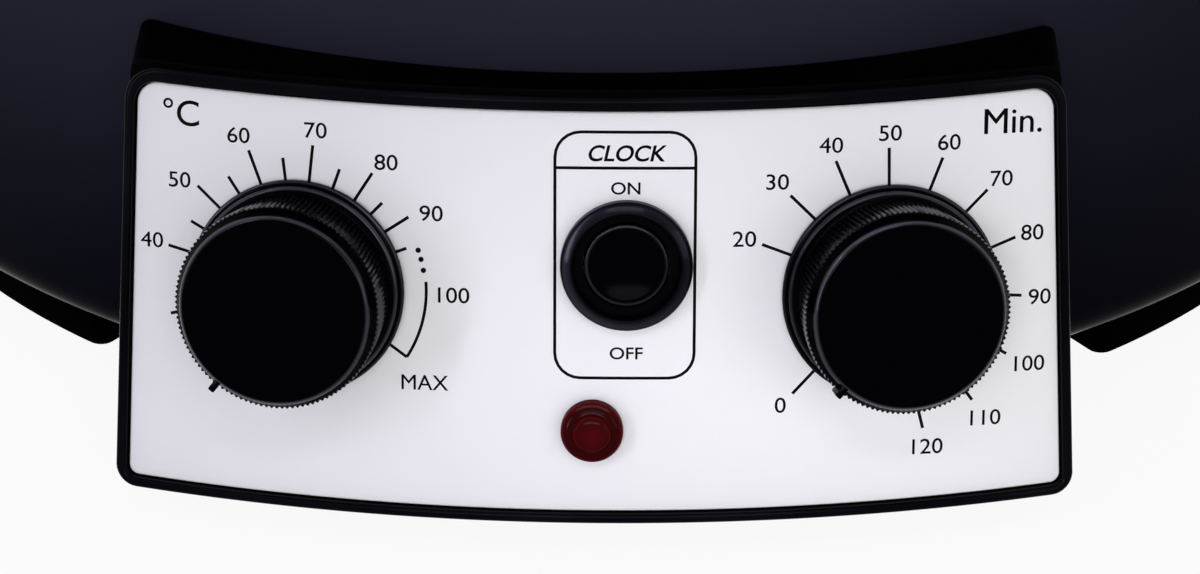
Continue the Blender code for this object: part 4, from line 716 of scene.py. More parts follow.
def as_mesh(curve):
    """What a curve or words make as plain mesh."""
    draft = bpy.data.objects.new("draft", curve)
    bpy.context.scene.collection.objects.link(draft)
    mesh = bpy.data.meshes.new_from_object(draft.evaluated_get(bpy.context.evaluated_depsgraph_get()))
    bpy.data.objects.remove(draft)
    return mesh


def lettering(words, cap, spot, anchor="CENTER", lean=0.0, bold=0.005, wide=1.0):
    """Flat words on the sheet whose capitals have this height, centred on or starting from a spot. An M or
    a 4 fills in when its outline grows, so words with one are struck twice instead."""
    twice = bool(set(words) & set("M4"))
    curve = bpy.data.curves.new("words", "FONT")
    curve.body = words
    curve.align_x = anchor
    curve.offset = 0.0 if twice else bold
    curve.resolution_u = 6
    flat = as_mesh(curve)
    scale = cap / CAPITAL_SHARE
    for strike in (-bold, bold) if twice else (0.0,):
        piece = put("words", [], [])
        piece.data = flat.copy()
        for vertex in piece.data.vertices:
            x = vertex.co.x + lean * (vertex.co.y - CAPITAL_SHARE / 2) + strike
            vertex.co = (spot[0] + x * scale * wide, spot[1] + vertex.co.y * scale - cap / 2, 0.0)
        print_parts.append(piece)


def ribbon(path, width, closed=False):
    """A flat line of even width along a path on the sheet."""
    count = len(path)
    points = []
    for i, (x, y) in enumerate(path):
        before = path[i - 1] if closed or i else path[i]
        after = path[(i + 1) % count] if closed or i < count - 1 else path[i]
        along = Vector((after[0] - before[0], after[1] - before[1])).normalized()
        points.append((x - along.y * width / 2, y + along.x * width / 2, 0.0))
        points.append((x + along.y * width / 2, y - along.x * width / 2, 0.0))
    last = count if closed else count - 1
    faces = [(2 * i, 2 * i + 1, (2 * i + 3) % (2 * count), (2 * i + 2) % (2 * count)) for i in range(last)]
    print_parts.append(put("line", points, faces))


def growing(name, **inputs):
    return new_tree(name, "Geometry", {"Geometry": "Geometry", **inputs}, {"Geometry": "Geometry"})


def combined(tree, **parts):
    return node(tree, "ShaderNodeCombineXYZ", parts)


def planted(tree, points, shape, **bearing):
    """Sets a shape at every point and makes the copies real."""
    copies = node(tree, "GeometryNodeInstanceOnPoints", {"Points": points, "Instance": shape, **bearing})
    return node(tree, "GeometryNodeRealizeInstances", {"Geometry": copies})


def painted(tree, made, shapes, material):
    """Gives a tree's shapes their material and puts them out."""
    coated = node(tree, "GeometryNodeSetMaterial", {"Geometry": shapes, "Material": material})
    put_out(tree, made, Geometry=coated)
    return tree


def tick_tree():
    """Geometry Nodes: one bar for each point, turned and stretched by the point's own values."""
    tree, given, made = growing("scale_ticks", Root="Float", Width="Float", Print="Material")
    clock = node(tree, "GeometryNodeInputNamedAttribute", {"Name": "clock"}, "Attribute", data_type="FLOAT")
    reach = node(tree, "GeometryNodeInputNamedAttribute", {"Name": "reach"}, "Attribute", data_type="FLOAT")
    size = combined(tree, X=given["Width"], Y=reckon(tree, "SUBTRACT", reach, given["Root"]), Z=1.0)
    outward = combined(tree, X=reckon(tree, "SINE", clock), Y=reckon(tree, "COSINE", clock))
    foot = node(tree, "ShaderNodeVectorMath", {0: outward, 3: given["Root"]}, operation="SCALE")
    rooted = node(tree, "GeometryNodeSetPosition", {"Geometry": given["Geometry"], "Offset": foot})
    turn = combined(tree, Z=reckon(tree, "MULTIPLY", clock, -1.0))
    facing = node(tree, "FunctionNodeEulerToRotation", {"Euler": turn})
    bar = node(tree, "GeometryNodeMeshGrid", {
        "Size X": 1.0, "Size Y": 1.0, "Vertices X": 2, "Vertices Y": 2})
    stood = node(tree, "GeometryNodeTransform", {"Geometry": bar, "Translation": (0.0, 0.5, 0.0)})
    bars = planted(tree, rooted, stood, Rotation=facing, Scale=size)
    return painted(tree, made, bars, given["Print"])


def grow(seed, tree, **values):
    """Runs a Geometry Nodes tree on a seed object and keeps the result as plain mesh."""
    grown = seed.modifiers.new("grow", "NODES")
    grown.node_group = tree
    sockets = {item.name: item.identifier for item in tree.interface.items_tree if item.in_out == "INPUT"}
    for name, value in values.items():
        grown[sockets[name]] = value
    return settle(seed)


ink = moulded("black_print", (0.0010, 0.0010, 0.0012), (0.0022, 0.0022, 0.0026), 0.4, 2500.0,
              (0.05, 0.00005), Specular_IOR_Level=0.03)
dial_turn = math.degrees(DIAL_ACROSS / (FACE_RADIUS - DIAL_UP * math.sin(TILT)))
thermostat_centre = sheet_spot(-dial_turn, DIAL_UP)
timer_centre = (-thermostat_centre[0], thermostat_centre[1])
thermostat_ticks = ((26.2, -105.5), (26.2, -76.1), (23.7, -61.6), (26.6, -46.9), (24.3, -33.3),
                    (27.2, -20.0), (24.6, -6.3), (27.3, 6.5), (24.2, 19.7), (26.5, 32.8), (23.2, 44.2),
                    (25.4, 56.3), (22.2, 68.7))
timer_ticks = ((26.7, -137.3), (26.0, -68.7), (26.7, -45.4), (27.3, -22.8), (27.4, -1.2), (27.0, 21.1),
               (26.3, 44.7), (25.9, 69.1), (25.8, 94.8), (26.6, 120.2), (27.6, 143.3), (28.1, 165.6))
thermostat_numbers = (("40", 29.6, -75.8), ("50", 30.0, -50.1), ("60", 30.6, -21.6), ("70", 30.3, 6.8),
                      ("80", 29.8, 34.7), ("90", 29.5, 59.4))
timer_numbers = (("0", 29.8, -136.9), ("20", 29.5, -68.9), ("30", 30.4, -45.1), ("40", 30.5, -22.1),
                 ("50", 30.3, -0.8), ("60", 30.2, 21.1), ("70", 29.7, 45.4), ("80", 29.3, 69.8),
                 ("90", 29.4, 94.8), ("100", 31.3, 119.5), ("110", 31.8, 143.7), ("120", 31.7, 166.1))
ticks = tick_tree()
for centre, marks, numbers in ((thermostat_centre, thermostat_ticks, thermostat_numbers),
                               (timer_centre, timer_ticks, timer_numbers)):
    seed = put("ticks", [(*centre, 0.0)] * len(marks), [])
    reaches = seed.data.attributes.new("reach", "FLOAT", "POINT")
    clocks = seed.data.attributes.new("clock", "FLOAT", "POINT")
    reaches.data.foreach_set("value", [reach / 1000 for reach, clock in marks])
    clocks.data.foreach_set("value", [math.radians(clock) for reach, clock in marks])
    print_parts.append(grow(seed, ticks, Root=TICK_ROOT, Width=TICK_WIDTH, Print=ink))
    for words, reach, clock in numbers:
        lettering(words, NUMERAL, dial_spot(centre, reach, clock), wide=NUMERAL_WIDE)
for clock in DOT_CLOCKS:
    x, y = dial_spot(thermostat_centre, DOT_REACH, clock)
    dot = [(x + a, y + b, 0.0) for a, b in arc(0, 0, DOT_RADIUS, 0, 345, 23)]
    print_parts.append(put("dot", dot, [tuple(range(len(dot)))]))
sweep = [dial_spot(thermostat_centre, SWEEP_REACH, SWEEP_START + SWEEP_TURN * i / SWEEP_STEPS)
         for i in range(SWEEP_STEPS + 1)]
ribbon(sweep, LINE_WIDTH)
sweep_end = dial_spot(thermostat_centre, TICK_ROOT * 1000, SWEEP_END_CLOCK)
ribbon(straight(sweep[-1], sweep_end, 6), LINE_WIDTH)
lettering("100", NUMERAL, sheet_spot(-5.26, 0.0414), "LEFT", wide=NUMERAL_WIDE)
lettering("MAX", NUMERAL, sheet_spot(-6.3, 0.0241), "LEFT")

FRAME_CORNER = 0.0048
left, low = sheet_spot(-1.24, 0.0261)
right, high = sheet_spot(3.41, 0.0733)
divide = 0.0666
ribbon(closely(rounded_box(left, right, low, high, FRAME_CORNER)), LINE_WIDTH, closed=True)
ribbon(straight((left, divide), (right, divide)), LINE_WIDTH)
lettering("CLOCK", PANEL_CAPITAL, sheet_spot(1.11, 0.0695), lean=0.22, bold=0.018)
lettering("ON", SWITCH_CAPITAL, sheet_spot(1.08, 0.0628), bold=0.012, wide=1.1)
lettering("OFF", SWITCH_CAPITAL, sheet_spot(1.08, 0.0310), bold=0.012, wide=1.1)
lettering("°C", UNIT_CAPITAL, sheet_spot(-14.05, 0.0721))
lettering("Min.", UNIT_CAPITAL, sheet_spot(14.16, 0.0718))

joined = bmesh.new()
for part in print_parts:
    joined.from_mesh(part.data)
    bpy.data.objects.remove(part)
bmesh.ops.remove_doubles(joined, verts=joined.verts, dist=WELD)
for vertex in joined.verts:
    x, y = vertex.co.x, vertex.co.y
    up = SHEET_RADIUS - math.hypot(x, SHEET_RADIUS - y)
    turn = math.atan2(x, SHEET_RADIUS - y) / math.sin(TILT)
    vertex.co = face_point(turn * (FACE_RADIUS - up * math.sin(TILT)), up, PRINT_PROUD)
scales = put("printed_scales", [], [])
joined.to_mesh(scales.data)
joined.free()
film = scales.modifiers.new("film", "SOLIDIFY")
film.thickness = PRINT_SINK
film.offset = -1.0
settle(scales)
scales.data.materials.clear()
scales.data.materials.append(ink)
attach(scales, "cooker")


# Bezel
# A gloss black frame snapped round the plate. Its crest is rounded and stands a little proud, and it is
# wider at the top. Each line of the section is its two margins, its height and its painted highlight's
# strength.
BEZEL_PROUD = 0.0016
bezel_section = (
    (0.0003, 0.0003, 0.0011, 0.0), (0.0005, 0.0005, 0.00145, 0.05), (0.0009, 0.0009, BEZEL_PROUD, 0.06),
    (0.0014, 0.0021, BEZEL_PROUD, 0.04), (0.0019, 0.0026, 0.00148, 0.06), (0.00215, 0.00285, 0.0011, 0.4),
    (BEZEL_MARGIN, BEZEL_TOP_MARGIN, 0.0006, 0.3), (BEZEL_MARGIN, BEZEL_TOP_MARGIN, WALL_FACE + GAP, 0.0),
    (0.0003, 0.0003, WALL_FACE + GAP, 0.0))
bezel_loops = [sheet_loop(*line[:3]) for line in bezel_section]
bezel = shell("bezel_frame", bezel_loops, wrap=True)
mark(bezel, [line[3] for line, loop in zip(bezel_section, bezel_loops) for point in loop])
hand_over(bezel, gloss, "cooker", "bezel", 50)


# Dials
# A capillary thermostat on the left and a clockwork timer on the right. Each has a threaded bushing with
# a hex nut, a steel spindle and a pressed-on phenolic knob with a fine knurl and a small nose.
KNOB_TOP = 0.01935
RIBS = 120
NOSE_HALF = 0.00065
NOSE_CORNER = 0.0003
NOSE_RADII = (0.0172, 0.0201)
NOSE_HEIGHTS = (0.0155, 0.0190)
# Its third colour is the painted highlight on the rims, steps and knurl crests.
knob_black = moulded("knob_moulding", (0.0002, 0.0002, 0.0004), (0.0005, 0.0005, 0.0010), 0.13, 600.0,
                     (0.04, 0.0001), (0.0170, 0.0160, 0.0265), (0.010, 0.80), Specular_Tint=SHEEN)
knob_outline = [(0.0, KNOB_TOP), (0.0100, KNOB_TOP - 0.00002), (0.0150, KNOB_TOP - 0.00004)]
knob_outline += arc(0.0169, 0.01805, 0.00125, 90, 12, 10)
knob_outline += [(0.0183, 0.0180), (0.0186, 0.0175), (0.0188, 0.0172), (0.0189, 0.0170), (0.01885, 0.01685),
                 (0.01875, 0.0168), (0.01775, 0.0042), (0.0177, 0.0037), (0.0179, 0.0033), (0.0184, 0.00315)]
knob_outline += arc(0.0190, 0.00245, 0.0007, 90, 0, 8)
knob_outline += [(0.01985, 0.0021), (0.0201, 0.0020)] + arc(0.0203, 0.0016, 0.00035, 84, 0, 5)
knob_outline += [(0.02065, 0.0011), (0.0205, 0.0009), (0.0110, 0.0009),
                 (0.0110, 0.0045), (0.0033, 0.0045), (0.0033, 0.0153), (0.0, 0.0153)]


def knurl_tree():
    """Geometry Nodes: slanted four-sided ribs round a knob's tapering wall."""
    tree, given, made = growing("slanted_knurl", Ribs="Int", Radius="Float", Thick="Float", Length="Float",
                                Height="Float", Slant="Float", Taper="Float", Moulding="Material")
    ring = node(tree, "GeometryNodeMeshCircle", {"Vertices": given["Ribs"], "Radius": given["Radius"]})
    raised = node(tree, "GeometryNodeTransform", {
        "Geometry": ring, "Translation": combined(tree, Z=given["Height"])})
    rib = node(tree, "GeometryNodeMeshCylinder", {
        "Vertices": 4, "Radius": given["Thick"], "Depth": given["Length"]})
    flat = reckon_vector(tree, "MULTIPLY", node(tree, "GeometryNodeInputPosition", {}), (1.0, 1.0, 0.0))
    facing = node(tree, "FunctionNodeAlignRotationToVector", {"Vector": flat}, axis="X", pivot_axis="Z")
    lean = combined(tree, X=given["Slant"], Y=given["Taper"])
    leaning = node(tree, "FunctionNodeEulerToRotation", {"Euler": lean})
    turned_in = node(tree, "FunctionNodeRotateRotation", {"Rotation": facing, "Rotate By": leaning},
                     rotation_space="LOCAL")
    return painted(tree, made, planted(tree, raised, rib, Rotation=turned_in), given["Moulding"])


def join(piece, *others):
    """Adds other pieces' meshes to a piece and removes them."""
    whole = bmesh.new()
    for part in (piece,) + others:
        whole.from_mesh(part.data)
    whole.to_mesh(piece.data)
    whole.free()
    for part in others:
        bpy.data.objects.remove(part)


knurl = knurl_tree()
for name, place, nose_turn in (("thermostat", thermostat_place, 145.0), ("timer", timer_place, 135.5)):
    knob = turned(name + "_grip", knob_outline, place, 192)
    smooth(knob, 40)
    ribs = grow(put("ribs", [], []), knurl, Ribs=RIBS, Radius=0.01848, Thick=0.0004, Length=0.0126,
                Height=0.0105, Slant=math.radians(3.0), Taper=math.radians(4.6), Moulding=knob_black)
    ribs.data.transform(place)
    nose_place = place @ Matrix.Rotation(math.radians(nose_turn), 4, "Z")
    nose_outline = rounded_box(-NOSE_HALF, NOSE_HALF, *NOSE_RADII, NOSE_CORNER, 3)
    nose = slab("nose", nose_outline, *NOSE_HEIGHTS, nose_place)
    join(knob, ribs, nose)
    # Painted highlights on the rim, the step, the flange's edge and the knurl's crests, where the gleam also
    # rises.
    highlight_and_gleam(knob, place, (0.0178, 0.0189, 0.0006, 1.0), (0.0195, 0.0029, 0.0006, 0.9),
           (0.0205, 0.0019, 0.0004, 0.5), crest=(0.0041, 0.0169, 0.01837, 0.01939, 0.0003, 0.25))
    hand_over(knob, knob_black, name + "_dial", name + "_knob", None)
    dress(cream, name + "_body")
    dress(steel, name + "_nut", name + "_shaft")


# Push button
# A round collar with a conical bevel, screwed through the panel, and a dished cap on a plunger that works a
# switch behind it, with a coil spring between the two.
CAP_RADIUS = 0.0079
CAP_RIM = 0.0012
DISH_SHARE = 0.85
DISH_DEPTH = 0.0009
collar = turned("button_bush", [
    (0.00985, 0.0024), (0.0100, 0.00285), (0.0102, 0.00312), (0.01045, 0.0032), (0.0107, 0.00315),
    (0.0117, 0.00265), (0.0121, 0.00242), (0.0123, 0.0022), (0.0124, 0.0019), (0.0124, GAP), (0.0094, GAP),
    (0.0094, -0.0120), (0.00825, -0.0120), (0.00825, 0.0005), (0.00985, 0.0005)], button_place, 144)
# Painted highlight on the collar's bevel and outer edge, where the gleam also rises.
highlight_and_gleam(collar, button_place, (0.0114, 0.0028, 0.0011, 0.9), (0.0123, 0.0021, 0.0004, 0.4))
hand_over(collar, gloss, "cooker", "button_collar", 40)
dish = [(CAP_RADIUS * share, CAP_RIM - DISH_DEPTH * (1 - (share / DISH_SHARE) ** 2))
        for share in (0.1, 0.2, 0.3, 0.4, 0.5, 0.6, 0.7, 0.8, DISH_SHARE)]
cap = turned("button_top", [(0.0, CAP_RIM - DISH_DEPTH)] + dish + [
    (0.0071, CAP_RIM), (0.0075, CAP_RIM), (0.00775, 0.0011), (0.00788, 0.0009), (CAP_RADIUS, 0.0006),
    (CAP_RADIUS, -0.0055), (0.0023, -0.0055), (0.0023, -0.0140), (0.0, -0.0140)], button_place, 144)
# Painted highlight on the cap's rim, where the gleam also rises.
highlight_and_gleam(cap, button_place, (0.0077, 0.0011, 0.0004, 0.6))
hand_over(cap, knob_black, "button", "button_cap", 40)

COIL_RADIUS = 0.0046
COIL_FOOT = -0.0120
COIL_HEIGHT = 0.0062
COIL_WIRE = 0.0004
COIL_TURNS = 3
COIL_STEPS = 24
coil = bpy.data.curves.new("coil", "CURVE")
coil.dimensions = "3D"
coil.bevel_depth = COIL_WIRE
coil.use_fill_caps = True
turns = coil.splines.new("POLY")
turns.points.add(COIL_TURNS * COIL_STEPS)
for i, point in enumerate(turns.points):
    x, y = arc(0, 0, COIL_RADIUS, 0, 360 * i / COIL_STEPS, 1)[1]
    climb = (COIL_HEIGHT - 2 * COIL_WIRE) * i / (COIL_TURNS * COIL_STEPS)
    point.co = (x, y, COIL_FOOT + COIL_WIRE + climb, 1.0)
spring = put("coil_spring", [], [])
welded = bmesh.new()
welded.from_mesh(as_mesh(coil))
bmesh.ops.remove_doubles(welded, verts=welded.verts, dist=GAP / 100)
welded.to_mesh(spring.data)
welded.free()
spring.data.transform(button_place)
hand_over(spring, steel, "cooker", "button_spring", 40)
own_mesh(spring)
dress(cream, "button_switch")
dress(steel, "button_nut")


# Indicator lamp
# A clear red moulded lens with a stepped front, pressed through the panel over a neon lamp body.
# Its third colour is the painted glow and painted highlights, a brighter red.
ruby = moulded("ruby_lens", (0.016, 0.0001, 0.0003), (0.034, 0.0002, 0.0007), 0.12, 1200.0, (0.1, 0.0001),
               (0.125, 0.0012, 0.0035), (0.001, 0.015), Transmission_Weight=0.06, IOR=1.49)
lens = turned("lamp_jewel", [
    (0.0, 0.0042), (0.0016, 0.00418), (0.0024, 0.00410), (0.0031, 0.0039), (0.0034, 0.0037),
    (0.0036, 0.0034), (0.0037, 0.0032), (0.0039, 0.0031), (0.0044, 0.00308), (0.0047, 0.0030),
    (0.0049, 0.00285), (0.0051, 0.0028), (0.0055, 0.0027), (0.00575, 0.0024), (0.0059, 0.0020),
    (0.0059, GAP), (0.0045, GAP), (0.0045, -0.0034), (0.0, -0.0034)], lamp_place, 96)
# A painted glow over the lens's middle and painted highlights on its step and rim, where the gleam also
# rises.
highlight_and_gleam(lens, lamp_place, (0.0, 0.0042, 0.0042, 0.45), (0.0034, 0.0037, 0.0004, 0.5),
       (0.0058, 0.0024, 0.0006, 0.9))
hand_over(lens, ruby, "cooker", "lamp_lens", 30)
dress(cream, "lamp_body")


# Side handles
# Moulded black bars, each standing off the wall on two arms that end in pads. The pads follow the wall
# over a steel strap and are held by two domed screws.
HANDLE_HEIGHT = RIM_HEIGHT - 0.045
HANDLE_TALL = 0.020
HANDLE_EDGE = 0.0028
STRAP_THICK = 0.0020
PAD_RADIUS = POT_RADIUS + STRAP_THICK + 2 * GAP
PAD_FACE = PAD_RADIUS + 0.006
HANDLE_OUT = POT_RADIUS + 0.046
HANDLE_GRIP = 0.014
HANDLE_WIDE = 0.052
HANDLE_CORNER = 0.016
PAD_END = 26.0
PAD_INNER = 14.5
PAD_ARM = 19.0
PAD_SCREW = 22.5
SCREW_SEAT = 0.0063
PAD_STEPS = 8


def polar(radius, turn):
    return (radius * math.cos(math.radians(turn)), radius * math.sin(math.radians(turn)))


def mirrored(half):
    return [(x, -y) for x, y in reversed(half)]


def handle_outline():
    """A handle from above, on the +X side: its outer side, then the inner side with the pads' backs. Its
    points on the pads stand further apart than the rims' rounding reaches."""
    outer = [polar(PAD_FACE, PAD_END + (PAD_ARM - PAD_END) * i / 5) for i in range(6)]
    outer += arc(HANDLE_OUT - HANDLE_CORNER, HANDLE_WIDE - HANDLE_CORNER, HANDLE_CORNER, 81, 0, 14)
    bend = HANDLE_CORNER * 0.6
    inner = arc(HANDLE_OUT - HANDLE_GRIP - bend, HANDLE_WIDE - HANDLE_GRIP * 0.8 - bend, bend, 72, 0, 10)
    back = [polar(PAD_RADIUS, PAD_INNER + (PAD_END - PAD_INNER) * i / PAD_STEPS)
            for i in range(PAD_STEPS + 1)]
    inside = list(reversed(inner + mirrored(inner)))
    return list(reversed(outer + mirrored(outer) + mirrored(back) + inside + back))


def recess_tree():
    """Geometry Nodes: the two crossed blades, merged to one solid, that sink a driver's recess into each
    screw's head."""
    tree, given, made = growing("cross_recess", Span="Float", Blade="Float", Depth="Float",
                                Plating="Material")
    size = combined(tree, X=given["Span"], Y=given["Blade"], Z=given["Depth"])
    blade = node(tree, "GeometryNodeMeshCube", {"Size": size})
    pair = node(tree, "GeometryNodeMeshLine", {"Count": 2, "Offset": (0.0, 0.0, 0.0)})
    angle = reckon(tree, "MULTIPLY", node(tree, "GeometryNodeInputIndex", {}), math.pi / 2)
    facing = node(tree, "FunctionNodeEulerToRotation", {"Euler": combined(tree, Z=angle)})
    crossed = planted(tree, pair, blade, Rotation=facing)
    merged = node(tree, "GeometryNodeMeshBoolean", {"Mesh 2": crossed, "Self Intersection": True},
                  operation="UNION", solver="EXACT")
    return painted(tree, made, merged, given["Plating"])


recess = recess_tree()
screw_head = [
    (0.0, SCREW_SEAT + 0.0028), (0.0016, SCREW_SEAT + 0.00268), (0.0028, SCREW_SEAT + 0.0022),
    (0.0036, SCREW_SEAT + 0.0014), (0.0039, SCREW_SEAT + 0.0007), (0.0040, SCREW_SEAT + 0.0003),
    (0.0039, SCREW_SEAT), (0.0020, SCREW_SEAT), (0.0020, -STRAP_THICK), (0.0, -STRAP_THICK)]
for side, sign in (("left", -1), ("right", 1)):
    turn = Matrix.Rotation(0.0 if sign > 0 else math.pi, 4, "Z")
    low = HANDLE_HEIGHT - HANDLE_TALL / 2
    handle = slab("handle_bar_" + side, handle_outline(), low, low + HANDLE_TALL, axis @ turn)
    rims = bmesh.new()
    rims.from_mesh(handle.data)
    edges = [edge for edge in rims.edges if abs(edge.verts[0].co.z - edge.verts[1].co.z) < GAP]
    bmesh.ops.bevel(rims, geom=edges, offset=HANDLE_EDGE, segments=6, affect="EDGES", profile=0.5)
    rims.to_mesh(handle.data)
    rims.free()
    for end, end_sign in (("front", -sign), ("back", sign)):
        around = Matrix.Rotation(math.radians(PAD_SCREW) * end_sign, 4, "Z")
        out = Matrix.Rotation(math.pi / 2, 4, "Y")
        seat = axis @ turn @ around @ Matrix.Translation((PAD_RADIUS, 0, HANDLE_HEIGHT)) @ out
        drill(handle, seat, SCREW_BORE, -0.012, 0.016, 24)
        name = "handle_screw_" + side + "_" + end
        screw = turned(name + "_domed", screw_head, seat, 48)
        blades = grow(put("blades", [], []), recess, Span=0.0040, Blade=0.0009, Depth=0.0030, Plating=steel)
        blades.data.transform(seat @ Matrix.Translation((0, 0, SCREW_SEAT + 0.0030)))
        cut(screw, blades)
        hand_over(screw, steel, "cooker", name, 40)
    # Painted highlight along the bars' rounded rims, where the gleam also rises.
    mark(handle, [0.5 * (GAP < HANDLE_TALL / 2 - abs(vertex.co.z - HANDLE_HEIGHT) < 0.7 * HANDLE_EDGE)
                  for vertex in handle.data.vertices])
    hand_over(handle, gloss, "cooker", "handle_" + side, 40)
    dress(steel, "handle_strap_" + side)


# Lid
# One drawn sheet, glazed like the pot: a low dome, a groove that drops inside the rim, a flange over the
# bead and a turned-down lip. A black knob is screwed on from below through a washer.
LID_SHEET = 0.0010
LID_SEAT = RIM_HEIGHT + GAP
LID_TOP = LID_SEAT + 0.022
LID_WALL = POT_BORE - 0.0038
LID_DOME = LID_WALL - 0.0090
LID_LIP = POT_BORE + 2 * RIM_BEAD + 0.0013 + LID_SHEET
GROOVE = RIM_HEIGHT - 0.0060
GROOVE_TOP = GROOVE + LID_SHEET
LID_HOLE = 0.0026
BEND_OUTER = 0.0016
BEND_INNER = 0.0006
CROWN_STEPS = 32
crown = []
for i in range(CROWN_STEPS + 1):
    radius = max(LID_HOLE, (LID_DOME - 0.003) * i / CROWN_STEPS)
    crown.append((radius, GROOVE_TOP + (LID_TOP - GROOVE_TOP) * (1 - (radius / LID_DOME) ** 2)))
top = crown + [(LID_DOME - 0.0012, GROOVE + 0.00155), (LID_DOME, GROOVE + 0.0012),
               (LID_DOME + 0.0015, GROOVE + 0.00102), (LID_WALL - 0.0045, GROOVE_TOP)]
top += arc(LID_WALL - LID_SHEET - 0.0025, GROOVE_TOP + 0.0025, 0.0025, -90, 0)
top += arc(LID_WALL + BEND_INNER, LID_SEAT - BEND_INNER, BEND_OUTER, 180, 90)
top += arc(LID_LIP - BEND_OUTER, LID_SEAT - BEND_INNER, BEND_OUTER, 90, 0)
top += [(LID_LIP, LID_SEAT - 0.0040), (LID_LIP - 0.0003, LID_SEAT - 0.0043),
        (LID_LIP - 0.0007, LID_SEAT - 0.0043), (LID_LIP - LID_SHEET, LID_SEAT - 0.0040)]
under = arc(LID_LIP - BEND_OUTER, LID_SEAT - BEND_INNER, BEND_INNER, 0, 90, 5)
under += arc(LID_WALL + BEND_INNER, LID_SEAT - BEND_INNER, BEND_INNER, 90, 180, 5)
under += arc(LID_WALL - 0.0035, GROOVE + 0.0035, 0.0035, 0, -90)
under += [(LID_WALL - 0.0055, GROOVE), (LID_DOME + 0.0010, GROOVE + 0.00004),
          (LID_DOME - 0.0006, GROOVE + 0.0002), (LID_DOME - 0.0018, GROOVE + 0.0006)]
under += [(radius, height - LID_SHEET) for radius, height in reversed(crown)]
hand_over(turned("enamelled_lid", top + under), enamel, "lid", "lid")

knob_foot = LID_TOP + GAP
grip = [(0.0, 0.0330), (0.0060, 0.03295), (0.0105, 0.0327), (0.0145, 0.0321), (0.0175, 0.0310),
        (0.0195, 0.0294), (0.0207, 0.0274), (0.0210, 0.0258), (0.0208, 0.0240), (0.0198, 0.0220),
        (0.0178, 0.0194), (0.0152, 0.0166), (0.0126, 0.0138), (0.0110, 0.0112), (0.0105, 0.0090),
        (0.0105, 0.0060), (0.0110, 0.0042), (0.0122, 0.0027), (0.0134, 0.0020), (0.01385, 0.0015),
        (0.01385, 0.0004), (0.0135, 0.0), (LID_HOLE, 0.0), (LID_HOLE, 0.0183), (0.0, 0.0183)]
lid_knob = turned("lid_grip", [(radius, knob_foot + height) for radius, height in grip], axis, 144)
# Painted highlight on the knob's shoulder and foot, where the gleam also rises.
highlight_and_gleam(lid_knob, axis, (0.0200, knob_foot + 0.0286, 0.0025, 0.5), (0.0138, knob_foot + 0.0017, 0.0008, 0.4))
hand_over(lid_knob, gloss, "lid", "lid_knob", 50)
dress(steel, "lid_washer", "lid_screw")


# Jar rack
# A pressed steel plate with a turned-down rim that keeps the jars off the floor. It has a lifting eye in
# the middle and two rings of drained holes.
RACK_RADIUS = POT_BORE - 0.0188
RACK_FOOT = COOKING_FLOOR + GAP
RACK_TOP = RACK_FOOT + 0.0125
RACK_SHEET = 0.0010
RACK_EDGE = 0.0002
RACK_BEND = 0.0030
EYE_RADIUS = 0.0160
EYE_EDGE = 0.0005
DRAIN_RADIUS = 0.0148
DRILL_LENGTH = 0.010


def rack_tree():
    """Geometry Nodes: upright drills for one ring of the rack's holes."""
    tree, given, made = growing("rack_drills", Holes="Int", Ring="Float", Radius="Float", Length="Float",
                                Plating="Material")
    ring = node(tree, "GeometryNodeMeshCircle", {"Vertices": given["Holes"], "Radius": given["Ring"]})
    bit = node(tree, "GeometryNodeMeshCylinder", {
        "Vertices": 40, "Radius": given["Radius"], "Depth": given["Length"]})
    return painted(tree, made, planted(tree, ring, bit), given["Plating"])


rack = turned("pressed_rack", arc(EYE_RADIUS + EYE_EDGE, RACK_TOP - EYE_EDGE, EYE_EDGE, 180, 90, 4)
              + arc(RACK_RADIUS - RACK_BEND, RACK_TOP - RACK_BEND, RACK_BEND, 90, 0)
              + [(RACK_RADIUS, RACK_FOOT + RACK_EDGE), (RACK_RADIUS - RACK_EDGE, RACK_FOOT),
                 (RACK_RADIUS - RACK_SHEET + RACK_EDGE, RACK_FOOT),
                 (RACK_RADIUS - RACK_SHEET, RACK_FOOT + RACK_EDGE)]
              + arc(RACK_RADIUS - RACK_BEND, RACK_TOP - RACK_BEND, RACK_BEND - RACK_SHEET, 0, 90)
              + [(EYE_RADIUS, RACK_TOP - RACK_SHEET)])
drills = rack_tree()
for share, count, turn in ((0.38, 6, 0.0), (0.74, 12, math.radians(15))):
    ring = grow(put("drills", [], []), drills, Holes=count, Ring=RACK_RADIUS * share,
                Radius=DRAIN_RADIUS, Length=DRILL_LENGTH, Plating=steel)
    ring.data.transform(axis @ Matrix.Translation((0, 0, RACK_TOP)) @ Matrix.Rotation(turn, 4, "Z"))
    cut(rack, ring)
hand_over(rack, steel, "rack", "jar_rack", 40)


# Studio
# A white floor and a white room, which show as clean paper to the camera and in reflections but light the
# object only dimly, five soft lamps, and the camera at the photograph's angle.
FLOOR_REACH = 3.0
SHADOW_START = 0.3
SHADOW_REACH = 0.75
SHADOW_SHARE = 0.08
WHITE = (1.0, 1.0, 1.0, 1.0)


def shown_directly(tree):
    """One where the camera, a reflection or a view through glass meets the surface, else zero."""
    rays = [node(tree, "ShaderNodeLightPath", {}, ray)
            for ray in ("Is Camera Ray", "Is Glossy Ray", "Is Transmission Ray")]
    return reckon(tree, "MAXIMUM", reckon(tree, "MAXIMUM", rays[0], rays[1]), rays[2])


